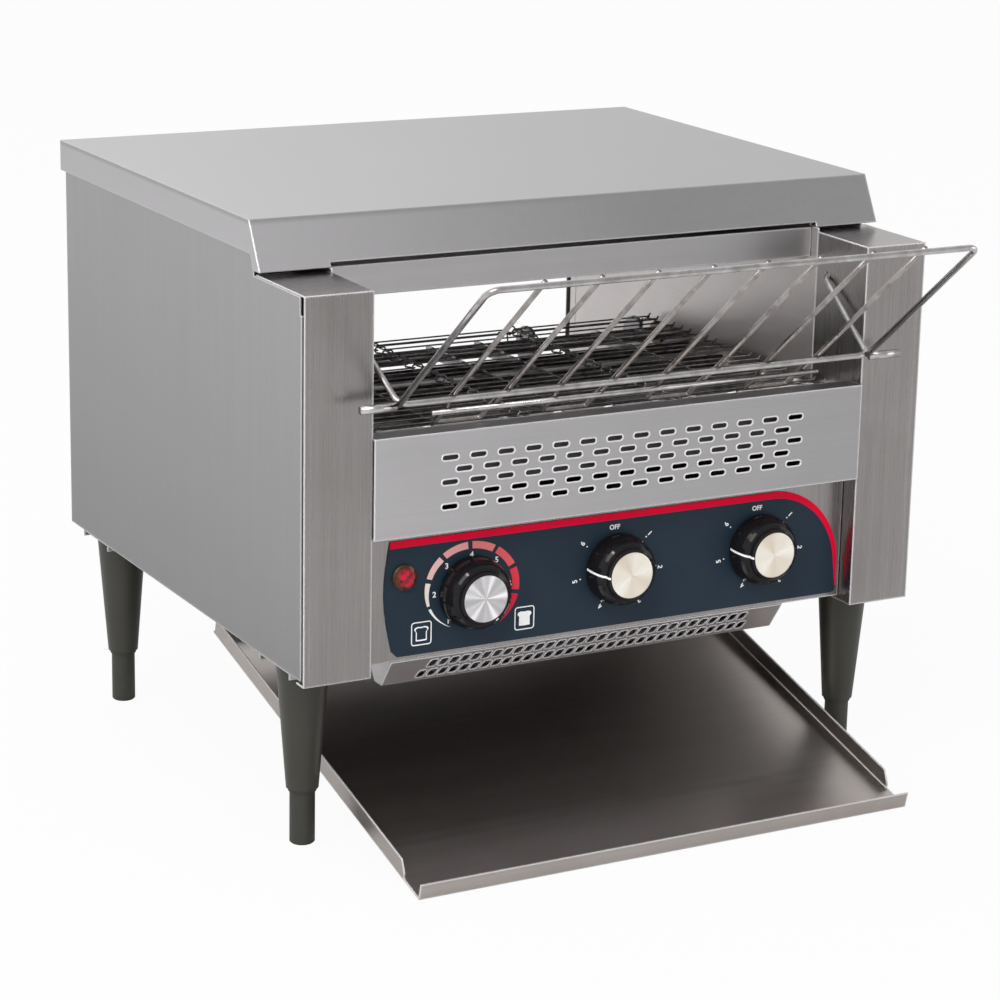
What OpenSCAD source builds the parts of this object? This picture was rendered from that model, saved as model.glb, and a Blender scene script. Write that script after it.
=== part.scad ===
// Conveyor toaster: a wire belt carries bread between two banks of heating
// elements and drops it down a chute onto a sloping tray at the front.
// Lengths are millimetres, +Z is up and the front faces -Y.
// Inside the modules Y = 0 is the front face of the two pillars; at_front()
// moves that face to its place, with the origin under the middle of the machine.

/* [Body] */
// Width across the two side panels
body_w = 475; // [465:1:485]
// Depth from the pillars' front face to the back of the rear panel
body_d = 418; // [414:1:430]
// Height of the side panels' lower edge above the table
body_bottom = 130; // [127:1:134]
// Height of the cover's top above the table
body_top = 420; // [416:1:425]
// Width of each front pillar
pillar_w = 48.5; // [46:0.5:51]
// How far the pillars reach below the side panels
pillar_drop = 3.5; // [2:0.5:6]
// How far the pillars' top face lies below the cover's top
pillar_set = 35; // [31:1:39]
// Depth of the pillars' inner return
pillar_return = 61.2; // [56:0.2:63]
// Thickness of the folded sheet
sheet = 1; // [0.8:0.1:1.2]
// Open seam between two sheets that meet
seam = 0.3; // [0.2:0.1:0.5]
// Width of the folded flanges
flange = 11; // [9:1:14]

/* [Cover] */
// How far the cover stands out past the sides and the rear
cover_lap = 2.5; // [2:0.1:4]
// Height of the cover's side and rear skirts
skirt_h = 22; // [16:1:28]
// Distance of the hood's lower edge behind the pillars' front face
hood_y = 64; // [62:1:68]
// Run of the hood's slope, front to back
hood_run = 17; // [14:1:20]
// Gap between the hood's lower edge and the pillars' top face
hood_gap = 3; // [2:0.5:5]
// How much higher the hood's edge is between the pillars
hood_step = 3; // [2:0.5:4]
// Depth of the lip folded in at the hood's lower edge
hood_lip = 7; // [5:1:9]

/* [Front] */
// How far the header panel's lower edge lies below the pillars' top face
header_set = 19; // [15:1:22]
// Front face of the header panel behind the pillars' front face
header_y = 70; // [68:1:73]
// Height of the vent panel's top, which is the loading sill
sill_z = 288; // [286:0.5:288.5]
// Height of the vent panel
vent_h = 68; // [60:1:74]
// How far the vent panel stands proud of the pillars
vent_proud = 2; // [1:0.5:3]
// Front face of the control fascia behind the pillars' front face
fascia_y = 15; // [14:0.5:17]
// Length of a vent slot
slot_len = 12; // [9:0.5:14]
// Width of a vent slot
slot_w = 3.6; // [2.5:0.1:4.5]
// Spacing of the vent slots along a row
slot_pitch = 20.6; // [18:0.2:22]
// Spacing of the vent slot rows
slot_row = 8.3; // [7:0.1:9]
// Rows of vent slots
slot_rows = 5; // [3:1:6]
// Slots in the longest row
slot_count = 14; // [8:1:14]

/* [Lower grille] */
// Distance of the air grille box from the left inner wall
grille_left_gap = 22; // [17:1:29]
// Distance of the air grille box from the right inner wall
grille_right_gap = 48; // [39:1:59]
// Height of the air grille box below the fascia
grille_h = 20; // [16:1:21]
// Slope of the air grille's face, front to back
grille_run = 14; // [10:1:16]
// Spacing of the air grille's holes
grille_pitch = 8.15; // [7.6:0.05:8.8]
// Width of one air grille hole
grille_hole = 6.2; // [4:0.1:6.4]
// Lean of an air grille hole over its height
grille_lean = 1.8; // [0:0.1:3]

/* [Controls] */
// Distance of the speed knob from the left inner wall
speed_in = 81; // [77:1:85]
// Place of the top element knob across the fascia
top_knob_x = 4; // [-2:1:8]
// Distance of the bottom element knob from the right inner wall
bottom_knob_in = 70; // [65:1:75]
// Height of the two element knobs
knob_z = 174; // [172:0.5:178]
// How far the speed knob lies below the element knobs
speed_set = 2; // [0:0.5:4]
// Radius of a knob at its skirt
knob_r = 25; // [22:0.5:26]
// Length of a knob from skirt to face
knob_len = 20.5; // [18:0.5:24]
// Radius of a knob's metal face
face_r = 16.2; // [14:0.1:17]
// Radius of a control spindle
spindle_r = 3; // [2.5:0.1:3.5]
// Distance of the lamp from the left inner wall
lamp_in = 30.5; // [28:0.5:33]
// Height of the lamp
lamp_z = 188; // [184:1:191]
// Radius of the lamp's bezel
lamp_r = 9; // [7:0.5:10]
// Thickness of the printed overlay
overlay_t = 0.8; // [0.4:0.1:1.2]

/* [Belt] */
// Height of the belt's top run
belt_z = 282; // [281:0.5:282.5]
// Spacing of the belt's cross wires
belt_pitch = 12; // [11.8:0.1:12.2]
// Cross wires between the two shafts, along the top run
belt_run = 20; // [19:1:20]
// Radius of the belt wire
belt_wire = 0.65; // [0.5:0.05:0.7]
// Teeth on each belt sprocket
belt_teeth = 7; // [7:1:7]
// Place of the belt's front shaft
front_shaft_y = 34; // [33:0.5:36]
// Distance of the belt's outer edges from the inner walls
belt_gap = 5; // [4:0.5:8]
// Place of the inner joints of the cross wires, from the middle
joint_x = 60; // [50:1:66]
// Radius of the belt's two shafts
shaft_r = 5; // [4:0.1:6]
// Thickness of a sprocket
sprocket_t = 3; // [2:0.5:4]
// Running clearance of a shaft in its bush
run_gap = 0.05; // [0.02:0.01:0.08]

/* [Heating] */
// Heating elements in each bank
element_count = 4; // [3:1:4]
// Radius of a heating element
element_r = 4; // [3:0.1:4.2]
// How far the upper bank of elements lies below the pillars' top face
top_element_set = 16; // [14:0.5:18]
// Height of the lower bank of elements
bottom_element_z = 267.5; // [267:0.5:268]
// Thickness of a ceramic bush's wall
bush_wall = 2.5; // [2:0.1:3]

/* [Drive] */
// Pitch of the drive chain
chain_pitch = 6.35; // [6:0.05:6.5]
// Teeth on each chain sprocket
chain_teeth = 12; // [12:2:14]
// Chain pitches between the motor's shaft and the belt's rear shaft
chain_run = 22; // [21:1:23]
// Slope of the chain, down towards the front
chain_slope = 30.6; // [28:0.2:33]
// Radius of the motor's can
motor_r = 28; // [22:1:30]
// Radius of the motor's output shaft
output_r = 4; // [3:0.1:5]

/* [Chute and rear] */
// Height of the rear opening's lower edge
rear_sill_z = 216; // [212:1:220]
// How far the rear opening's upper edge lies below the cover's top
rear_head_set = 80; // [70:1:90]
// Distance of the chute's lower end behind the pillars' front face
chute_y = 256; // [256:0.5:260]
// Height of the chute's lower end
chute_z = 97; // [96:0.5:100]
// Radius of the cable gland's bore
gland_bore = 4.5; // [3:0.5:6]

/* [Tray] */
// How far the toast tray's sides stand outside the inner walls
tray_out = 2; // [-3:0.5:4]
// How far the tray's front edge stands in front of the pillars
tray_reach = 76.5; // [60:0.5:90]
// Distance of the tray's rear edge behind the pillars' front face
tray_rear_y = 255; // [250:0.5:255.5]
// Height of the tray's floor at its rear edge
tray_rear_z = 83.5; // [81:0.5:84]
// Height of the tray's side flanges
tray_side_h = 12; // [9:0.5:13]
// Height of the tray's front lip
tray_lip_h = 11; // [8:0.5:14]

/* [Legs] */
// Distance of a leg's centre from the side panel's face
leg_inset_x = 21.7; // [19:0.1:23]
// Distance of a leg's centre from the front and rear faces
leg_inset_y = 48; // [40:1:60]
// Radius of a leg at its top
leg_top_r = 18; // [15:0.5:18.5]
// Radius of a leg at its lower end
leg_end_r = 11; // [9:0.5:12]
// Height of a leg's lower end above the table
leg_end_z = 39.5; // [34:0.5:45]
// Radius of an adjustable foot
foot_r = 8.6; // [7:0.1:9]
// Radius of a foot's screw
foot_screw_r = 5; // [4:0.1:6]
// Length of a foot's screw inside its leg
foot_screw_len = 40; // [35:1:50]

/* [Loading rack] */
// Tilt of the rack above the horizontal
rack_tilt = 39; // [36:0.5:42]
// Distance of the rack's side wires from the inner walls
rack_gap = 9; // [7:0.5:14]
// Radius of the rack's sloping wires
rack_wire = 1.75; // [1.5:0.05:2]
// Radius of the rack's frame wires
rack_frame = 2.1; // [1.8:0.1:2.5]
// Length up the slope from the wires' lower ends to the middle rail
rack_mid = 17; // [14:1:20]
// Length up the slope from the wires' lower ends to the lower rail
rack_low = 35; // [32:1:38]
// Length up the slope from the wires' lower ends to the top rail
rack_top = 192; // [180:1:195]
// Place of the wires' lower ends behind the pillars' front face
rack_foot_y = 10.5; // [8:0.5:11]
// Place of the rack's pivot behind the pillars' front face
rack_pivot_y = 48; // [44:0.5:52]
// How far the rack's pivot lies below the pillars' top face
rack_pivot_set = 28; // [25:0.5:33]
// Length of the stub at each end of the lower rail
rack_stub = 20; // [14:1:24]

/* [Hidden] */

$fn = 48;
fit_gap = 0.02;      // between two pieces pressed together
weld = 0.3;          // how deep two welded wires sink into each other
past = 1;            // how far a cutting tool runs past what it cuts

side_x = body_w / 2;
wall_x = side_x - pillar_w;
inner_w = 2 * (wall_x - seam);
roof_z = body_top - sheet;
pillar_top = body_top - pillar_set;
header_bottom = pillar_top - header_set;
top_element_z = pillar_top - top_element_set;
rear_head_z = body_top - rear_head_set;
skirt_z = body_top - skirt_h;
hood_z = pillar_top + hood_gap;
roof_y = hood_y + hood_run;
cover_rear = body_d + cover_lap;

// Loading rack: points on its slope, measured up from the wires' lower ends
rack_foot_z = sill_z + seam + rack_wire;
rack_pivot_z = pillar_top - rack_pivot_set;
rack_half = wall_x - rack_gap;
rack_pitch = rack_half / 4.5;
function rack_at(len) = [rack_foot_y - len * cos(rack_tilt), rack_foot_z + len * sin(rack_tilt)];
function rail_at(len, r) = rack_at(len) - (rack_wire + r - weld) * [sin(rack_tilt), cos(rack_tilt)];
rack_nub = rack_top + 2 * rack_wire;
rack_reach = max(-rack_at(rack_nub)[0] + rack_wire * sin(rack_tilt), -rail_at(rack_top, rack_frame)[0] + rack_frame);
front_y = (rack_reach - cover_rear) / 2;

// Belt: its shafts and the radius of the wires round a sprocket
belt_r = belt_pitch / (2 * sin(180 / belt_teeth));
shaft_z = belt_z - belt_r;
rear_shaft_y = front_shaft_y + belt_run * belt_pitch;
belt_half = wall_x - belt_gap;
wrap = 360 / belt_teeth;

// Drive chain: its pitch radius and the motor's place
chain_r = chain_pitch / (2 * sin(180 / chain_teeth));
chain_len = chain_run * chain_pitch;
motor_y = rear_shaft_y - chain_len * cos(chain_slope);
motor_z = shaft_z - chain_len * sin(chain_slope);
chain_x = wall_x + 34;
chain_sprocket_t = 2.6;
roller_r = 1.3;

// Vent panel and fascia
vent_bottom = sill_z - vent_h;
fascia_top = vent_bottom + 16;
shield_y = fascia_y - sheet / 2;
shield_z = shaft_z - belt_r - 8;
overlay_face = fascia_y - overlay_t;
grille_left = -wall_x + grille_left_gap;
grille_right = wall_x - grille_right_gap;
speed_x = -wall_x + speed_in;
speed_z = knob_z - speed_set;
bottom_knob_x = wall_x - bottom_knob_in;
lamp_x = -wall_x + lamp_in;

// Base and chute
base_z = body_bottom + sheet + seam;
base_top = base_z + sheet;
baffle_y = rear_shaft_y - 27;
chute_top_y = body_d - 6;
chute_slope = (rear_sill_z - chute_z) / (chute_top_y - chute_y);
chute_lip = 7;
leg_plate_t = 1.2;
leg_top_z = body_bottom - leg_plate_t - seam;

// Tray
tray_half_w = wall_x + tray_out;
tray_front_z = sheet / 2 + seam;
tray_len = tray_rear_y + tray_reach;
tray_tilt = atan2(tray_rear_z - tray_front_z, tray_len);
function tray_floor(y) = tray_front_z + (y + tray_reach) * tan(tray_tilt);

// ---------- helpers ----------

// Moves a piece from the pillars' front face to its place over the origin
module at_front() {
    translate([0, front_y, 0]) children();
}

// Mirrors a piece of the left side to the right side
module on_side(side) {
    if (side == "left") children();
    else mirror([1, 0, 0]) children();
}

function unit(v) = v / norm(v);
function side_normal(a, b) = let (d = unit(b - a)) [-d[1], d[0]];
function mitre(path, i) =
    i == 0 ? side_normal(path[0], path[1]) :
    i == len(path) - 1 ? side_normal(path[i - 1], path[i]) :
    let (n1 = side_normal(path[i - 1], path[i]), n2 = side_normal(path[i], path[i + 1]))
    (n1 + n2) / (1 + n1 * n2);
function sheet_outline(path, t) = concat(
    [for (i = [0 : len(path) - 1]) path[i] + t / 2 * mitre(path, i)],
    [for (i = [len(path) - 1 : -1 : 0]) path[i] - t / 2 * mitre(path, i)]
);

// Extrudes an outline in the YZ plane along X
module along_x(x, width) {
    translate([x, 0, 0]) rotate([90, 0, 90]) linear_extrude(width) children();
}

// Folded sheet: a path of middle-line points in the YZ plane
module bent_sheet(path, x, width, t = sheet) {
    along_x(x, width) polygon(sheet_outline(path, t));
}

module box(low, high) {
    translate(low) cube(high - low);
}

module rod_x(x1, x2, y, z, r) {
    translate([x1, y, z]) rotate([0, 90, 0]) cylinder(h = x2 - x1, r = r);
}

module rod_y(y1, y2, x, z, r) {
    translate([x, y2, z]) rotate([90, 0, 0]) cylinder(h = y2 - y1, r = r);
}

module ring_x(x1, x2, y, z, r_out, r_in) {
    difference() {
        rod_x(x1, x2, y, z, r_out);
        rod_x(x1 - past, x2 + past, y, z, r_in);
    }
}

// Straight wire between two points
module wire(a, b, r) {
    d = b - a;
    translate(a) rotate([0, acos(d[2] / norm(d)), atan2(d[1], d[0])]) cylinder(h = norm(d), r = r);
}

// Ball that fills the outside of a bend in a wire
module bend(p, r) {
    translate(p) sphere(r = r * 1.03);
}

// Slot with round ends, cut through a sheet that faces -Y
module round_slot(x, z, length, width) {
    reach = (length - width) / 2;
    rod_y(-past, sheet + past, x - reach, z, width / 2);
    rod_y(-past, sheet + past, x + reach, z, width / 2);
    box([x - reach, -past, z - width / 2], [x + reach, sheet + past, z + width / 2]);
}

// ---------- casing ----------

module top_cover() {
    half = side_x + cover_lap;
    hood_path = [
        [hood_y + hood_lip, hood_z + sheet / 2],
        [hood_y + sheet / 2, hood_z + sheet / 2],
        [roof_y, roof_z + sheet / 2],
        [cover_rear - sheet / 2, roof_z + sheet / 2],
        [cover_rear - sheet / 2, skirt_z]
    ];
    side_outline = [
        [hood_y + sheet, hood_z], [roof_y, roof_z + sheet / 2], [cover_rear - sheet / 2, roof_z + sheet / 2],
        [cover_rear - sheet / 2, skirt_z], [hood_y + 14, skirt_z], [hood_y + 10, hood_z]
    ];
    color("silver") at_front() {
        difference() {
            bent_sheet(hood_path, -half, 2 * half);
            box([-wall_x, hood_y - past, hood_z - past],
                [wall_x, hood_y + hood_lip + past, hood_z + hood_step]);
        }
        box([-wall_x, hood_y + hood_step * hood_run / (roof_z - hood_z) + sheet, hood_z + hood_step],
            [wall_x, header_y - seam, hood_z + hood_step + sheet]);
        for (x = [-half, half - sheet]) along_x(x, sheet) polygon(side_outline);
    }
}

panel_seam = 3.6;                    // open seam between a pillar's face and its side panel

// Pan-shaped side panel with a flange along each edge
module side_panel(side) {
    panel_front = sheet + panel_seam;
    relief_z = pillar_top - sheet - seam - 12;
    relief_y = panel_front + 2;
    panel_rear = body_d - sheet - seam;
    shoulder_z = pillar_top - sheet - seam;
    shoulder_y = hood_y + 14;
    top_y = roof_y + 6;
    top_z = roof_z - seam;
    color("gainsboro") at_front() on_side(side) {
        along_x(-side_x, sheet) polygon([
            [panel_front, body_bottom], [panel_rear, body_bottom], [panel_rear, top_z],
            [top_y, top_z], [shoulder_y, shoulder_z], [relief_y, shoulder_z],
            [relief_y, relief_z], [panel_front, relief_z]
        ]);
        box([-side_x, panel_front, body_bottom], [-side_x + flange, panel_rear, body_bottom + sheet]);
        box([-side_x, panel_front, body_bottom], [-side_x + flange, panel_front + sheet, relief_z]);
        box([-side_x, panel_rear - sheet, body_bottom], [-side_x + flange, panel_rear, top_z]);
        box([-side_x, top_y, top_z - sheet], [-side_x + flange, panel_rear, top_z]);
    }
}

module left_side_panel() {
    side_panel("left");
}

module right_side_panel() {
    side_panel("right");
}

// Pillar folded from one sheet, open at the back
module front_pillar(side) {
    low = body_bottom - pillar_drop;
    lap_x = -side_x + 4;
    lap_y = sheet + panel_seam - seam;
    top_depth = hood_y + hood_lip + 3;
    color("gainsboro") at_front() on_side(side) difference() {
        union() {
            box([-side_x, 0, low], [-wall_x, sheet, pillar_top]);
            box([lap_x, 0, low], [lap_x + sheet, lap_y, pillar_top]);
            box([-wall_x - sheet, 0, low], [-wall_x, pillar_return, pillar_top]);
            box([-side_x, 0, pillar_top - sheet], [-wall_x, pillar_return, pillar_top]);
            box([-side_x, 0, pillar_top - sheet], [-wall_x - sheet - seam, top_depth, pillar_top]);
            box([-side_x, 0, low], [-wall_x, flange, low + sheet]);
        }
        rod_x(-wall_x - sheet - past, -wall_x + past, rack_pivot_y, rack_pivot_z, rack_frame + run_gap);
    }
}

module left_front_pillar() {
    front_pillar("left");
}

module right_front_pillar() {
    front_pillar("right");
}

// Places of the elements along the belt
function element_y(i) = front_shaft_y + 48 + i * (rear_shaft_y - front_shaft_y - 96) / (element_count - 1);
rail_rod_r = 3;
rail_rod_z = belt_z - 8;
rail_rod_inset = 26;
bush_r = element_r + bush_wall;
shaft_bush_r = shaft_r + 4;

// Wall beside the belt, with the holes for bushes, rods and the motor's shaft
module inner_wall(side) {
    wall_front = pillar_return + seam;
    wall_rear = body_d - 16;
    wall_low = base_top + seam;
    wall_high = skirt_z + 2;
    hood_rear = hood_y + hood_lip + 2 * seam;
    color("lightgrey") at_front() on_side(side) difference() {
        union() {
            along_x(-wall_x - sheet, sheet) polygon([
                [wall_front, wall_low], [wall_rear, wall_low], [wall_rear, wall_high],
                [hood_rear, wall_high], [hood_rear, hood_z - seam], [wall_front, hood_z - seam]
            ]);
            box([-wall_x - flange, wall_front, wall_low], [-wall_x, wall_rear, wall_low + sheet]);
            box([-wall_x - flange, wall_rear - sheet, wall_low], [-wall_x, wall_rear, wall_high]);
        }
        wall_hole(rear_shaft_y, shaft_z, shaft_bush_r + run_gap);
        for (i = [0 : element_count - 1]) {
            wall_hole(element_y(i), top_element_z, bush_r + fit_gap);
            wall_hole(element_y(i), bottom_element_z, bush_r + fit_gap);
        }
        if (side == "right") wall_hole(motor_y, motor_z, output_r + 3);
    }
}

module wall_hole(y, z, r) {
    rod_x(-wall_x - sheet - past, -wall_x + past, y, z, r);
}

module left_inner_wall() {
    inner_wall("left");
}

module right_inner_wall() {
    inner_wall("right");
}

// Panel that closes the front between the hood and the loading mouth
module header_panel() {
    hood_slot = 4;
    header_top = hood_z + hood_step - hood_slot - sheet / 2;
    path = [
        [header_y + 5, header_bottom + sheet / 2], [header_y + sheet / 2, header_bottom + sheet / 2],
        [header_y + sheet / 2, header_top], [header_y + 14, header_top]
    ];
    color("gainsboro") at_front() bent_sheet(path, -inner_w / 2, inner_w);
}

// Slotted panel over the controls; its top is the sill that the rack rests on
module vent_panel() {
    back = fascia_y - seam;
    face_y = -vent_proud + sheet / 2;
    path = [
        [back, vent_bottom + sheet / 2], [face_y, vent_bottom + sheet / 2],
        [face_y, sill_z - sheet / 2], [back - sheet / 2, sill_z - sheet / 2]
    ];
    row_top = sill_z - vent_h / 2 + slot_row * (slot_rows - 1) / 2;
    color("silver") at_front() difference() {
        bent_sheet(path, -inner_w / 2, inner_w);
        translate([0, -vent_proud, 0]) for (row = [0 : slot_rows - 1]) {
            count = slot_count - row % 2;
            for (i = [0 : count - 1])
                round_slot((i - (count - 1) / 2) * slot_pitch, row_top - row * slot_row, slot_len, slot_w);
        }
    }
}

// Holes for the three spindles and the lamp, cut along Y
module control_holes(y1, y2) {
    rod_y(y1, y2, speed_x, speed_z, spindle_r + 2);
    for (x = [top_knob_x, bottom_knob_x]) rod_y(y1, y2, x, knob_z, spindle_r + 2);
    rod_y(y1, y2, lamp_x, lamp_z, lamp_r - 2 + seam);
}

module control_fascia() {
    half = wall_x - 0.5;
    color("silver") at_front() difference() {
        union() {
            box([-half, fascia_y, body_bottom], [half, fascia_y + sheet, fascia_top]);
            for (x = [-half, half - sheet])
                box([x, fascia_y, body_bottom + 4], [x + sheet, fascia_y + 14, fascia_top]);
        }
        control_holes(fascia_y - past, fascia_y + sheet + past);
    }
}

// Printed overlay: bowed left edge and a quarter ellipse at the right end
overlay_left = -wall_x + 22;
overlay_bow = 5;
overlay_right = wall_x - 3.5;
overlay_low = body_bottom + 3;
overlay_high = vent_bottom - 7;
overlay_turn_x = 56;
overlay_turn_z = 58;
overlay_corner = 4;

function overlay_outline() = concat(
    [for (i = [0 : 8]) let (s = i / 8) [
        overlay_left - overlay_bow * sin(180 * s) - 2 * s,
        overlay_low + overlay_corner + s * (overlay_high - overlay_low - overlay_corner)
    ]],
    [for (a = [90 : -9 : 0]) [
        overlay_right - overlay_turn_x + overlay_turn_x * cos(a),
        overlay_high - overlay_turn_z + overlay_turn_z * sin(a)
    ]],
    [for (a = [0 : -30 : -90]) [
        overlay_right - overlay_corner + overlay_corner * cos(a),
        overlay_low + overlay_corner + overlay_corner * sin(a)
    ]],
    [[overlay_left + overlay_corner, overlay_low]]
);

module control_overlay() {
    color("darkslategray") at_front() difference() {
        translate([0, fascia_y, 0]) rotate([90, 0, 0]) linear_extrude(overlay_t) polygon(overlay_outline());
        control_holes(overlay_face - past, fascia_y + past);
    }
}

// Box below the fascia with two rows of leaning holes in its sloping face
module lower_grille() {
    top_z = body_bottom - sheet / 2 - seam;
    low_z = top_z - grille_h + sheet / 2;
    face_top_y = fascia_y + sheet / 2;
    face_low_y = face_top_y + grille_run;
    back_y = face_low_y + 24;
    path = [
        [face_top_y + 9, top_z], [face_top_y, top_z], [face_low_y, low_z],
        [face_low_y + 10, low_z], [back_y, base_z - seam]
    ];
    face_len = norm([grille_run, top_z - low_z]);
    face_tilt = atan2(grille_run, top_z - low_z);
    end_margin = 27.5;
    hole_h = face_len * 0.32;
    row_drop = [face_len * 0.72, face_len * 0.27];
    holes = 1 + floor((grille_right - grille_left - 2 * end_margin) / grille_pitch);
    color("silver") at_front() {
        difference() {
            bent_sheet(path, grille_left, grille_right - grille_left);
            translate([(grille_left + grille_right) / 2, face_top_y, top_z]) rotate([face_tilt, 0, 0])
                for (row = [0, 1], i = [0 : holes - 1 - row])
                    translate([
                        (i - (holes - 1 - row) / 2) * grille_pitch + row * grille_lean * 0.7, 0, -row_drop[row]
                    ]) grille_cut(hole_h);
        }
        for (x = [grille_left, grille_right - sheet]) along_x(x, sheet) polygon([
            [face_top_y, top_z], [face_low_y, low_z], [face_low_y + 10, low_z], [back_y, base_z - seam],
            [face_low_y, base_z - seam], [face_top_y + 9, top_z]
        ]);
    }
}

// Leaning hole with rounded corners
module grille_cut(height) {
    corner_r = 1.4;
    flat_x = grille_hole / 2 - corner_r;
    flat_z = height / 2 - corner_r;
    rotate([90, 0, 0]) translate([0, 0, -3]) linear_extrude(6) polygon([
        for (quarter = [0 : 3], a = [0, 45, 90]) let (
            turn = a + 90 * quarter,
            x = (quarter == 0 || quarter == 3 ? flat_x : -flat_x) + corner_r * cos(turn),
            z = (quarter < 2 ? flat_z : -flat_z) + corner_r * sin(turn)
        ) [x + grille_lean * z / height, z]
    ]);
}

// Floor of the machine, with the air inlet and the toast exit cut out
module base_pan() {
    half = side_x - sheet - seam;
    front = sheet + 5;
    rear = body_d - 2 * sheet - 2 * seam;
    exit_front = baffle_y + 2;
    exit_rear = chute_y + (base_top - chute_z) / chute_slope + 4;
    color("dimgray") at_front() difference() {
        box([-half, front, base_z], [half, rear, base_top]);
        box([-wall_x, front - past, base_z - past], [wall_x, fascia_y + sheet + seam, base_top + past]);
        for (side = ["left", "right"]) on_side(side)
            box([-wall_x - sheet - seam, front - past, base_z - past],
                [-wall_x + past, pillar_return + seam, base_top + past]);
        box([-wall_x, exit_front, base_z - past], [wall_x, exit_rear, base_top + past]);
        box([grille_left + 9, fascia_y + 10, base_z - past], [grille_right - 9, fascia_y + 32, base_top + past]);
    }
}

gland_x = wall_x - 39;
gland_z = 168;
gland_thread_r = gland_bore + 3.5;

// Rear panel round the open back of the belt's tunnel
module rear_panel() {
    color("gainsboro") at_front() difference() {
        box([-side_x + 1, body_d - sheet, body_bottom], [side_x - 1, body_d, roof_z - 3]);
        box([-wall_x, body_d - sheet - past, rear_sill_z], [wall_x, body_d + past, rear_head_z]);
        rod_y(body_d - sheet - past, body_d + past, gland_x, gland_z, gland_thread_r + fit_gap);
        translate([0, body_d - sheet, 0])
            for (side = [-1, 1], i = [0 : 9])
                round_slot(side * (side_x - pillar_w / 2), body_bottom + 60 + 9 * i, 24, slot_w);
    }
}

// Slide that turns the falling toast to the front, with the tray's hooks below
module drop_chute() {
    half = wall_x - seam;
    cheek_h = 14;
    cheek_run = 130;
    rim_z = rear_sill_z + seam + sheet / 2;
    path = [
        [body_d, rim_z], [chute_top_y, rim_z], [chute_y, chute_z], [chute_y - chute_lip, chute_z - 2]
    ];
    cheek = [
        [chute_top_y, rim_z], [chute_y, chute_z], [chute_y - chute_lip, chute_z - 2],
        [chute_y - chute_lip, chute_z + cheek_h],
        [chute_y - chute_lip + cheek_run, chute_z + cheek_h + cheek_run * chute_slope]
    ];
    hook_x = wall_x - 69;
    hook_w = 24;
    hook_y = tray_rear_y + 2;
    hook_gap = sheet + seam;
    hook_path = [
        [hook_y, chute_z + (hook_y - chute_y) * chute_slope], [hook_y, tray_floor(hook_y) - hook_gap - 0.4],
        [tray_rear_y - 18, tray_floor(tray_rear_y - 18) - hook_gap]
    ];
    color("lightgrey") at_front() {
        bent_sheet(path, -half, 2 * half);
        for (x = [-half, half - sheet]) along_x(x, sheet) polygon(cheek);
        for (x = [-hook_x, 0, hook_x]) bent_sheet(hook_path, x - hook_w / 2, hook_w);
    }
}

// Heat shield over the controls, the motor and the wiring
module compartment_shield() {
    path = [
        [shield_y + sheet, sill_z - sheet - seam], [shield_y + sheet, shield_z],
        [rear_shaft_y + 8, shield_z - 3], [baffle_y, base_top + seam + sheet / 2]
    ];
    color("silver") at_front() bent_sheet(path, -inner_w / 2, inner_w);
}

// ---------- heating ----------

module top_reflector() {
    z = top_element_z + element_r + 9;
    path = [
        [header_y + sheet + seam, z], [element_y(element_count - 1) + 30, z],
        [element_y(element_count - 1) + 44, z - 20]
    ];
    color("white") at_front() bent_sheet(path, -inner_w / 2, inner_w);
}

module bottom_reflector() {
    z = shaft_z - belt_r * cos(wrap / 2) + 4.5;
    color("white") at_front()
        box([-inner_w / 2, front_shaft_y + 24, z], [inner_w / 2, rear_shaft_y - 24, z + 0.8]);
}

module element_bank(z) {
    color("dimgray") at_front() for (i = [0 : element_count - 1]) {
        rod_x(-wall_x - 14, wall_x + 14, element_y(i), z, element_r);
        for (side = [-1, 1])
            rod_x(side < 0 ? -wall_x - 24 : wall_x + 14, side < 0 ? -wall_x - 14 : wall_x + 24, element_y(i), z, 2);
    }
}

module top_elements() {
    element_bank(top_element_z);
}

module bottom_elements() {
    element_bank(bottom_element_z);
}

// Ceramic bushes: a sleeve through the wall and a collar behind it
module element_bushes() {
    color("ivory") at_front() for (side = ["left", "right"], z = [top_element_z, bottom_element_z])
        on_side(side) for (i = [0 : element_count - 1]) {
            ring_x(-wall_x - sheet - seam, -wall_x + 2, element_y(i), z, bush_r, element_r + fit_gap);
            ring_x(-wall_x - sheet - 5, -wall_x - sheet - fit_gap, element_y(i), z, bush_r + 2, element_r + fit_gap);
        }
}

// ---------- belt ----------

// Cross wires round the loop: top run, rear sprocket, bottom run, front sprocket
function belt_points() = concat(
    [for (i = [0 : belt_run]) [front_shaft_y + i * belt_pitch, belt_z]],
    [for (k = [1 : 3]) [rear_shaft_y + belt_r * sin(k * wrap), shaft_z + belt_r * cos(k * wrap)]],
    [for (i = [1 : belt_run + 1])
        [rear_shaft_y + belt_r * sin(3 * wrap) - i * belt_pitch, shaft_z + belt_r * cos(3 * wrap)]],
    [for (k = [2, 1]) [front_shaft_y - belt_r * sin(k * wrap), shaft_z + belt_r * cos(k * wrap)]]
);

neck = 2.5;                          // half width of a joint where it leaves its wire
crown = 4.6;                         // half width of a joint round the next wire
under = -2 * belt_wire - 0.5;        // a joint's legs pass below the next wire
over = 2 * belt_wire + 0.2;          // and its crown lies over the next joint's legs

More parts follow.
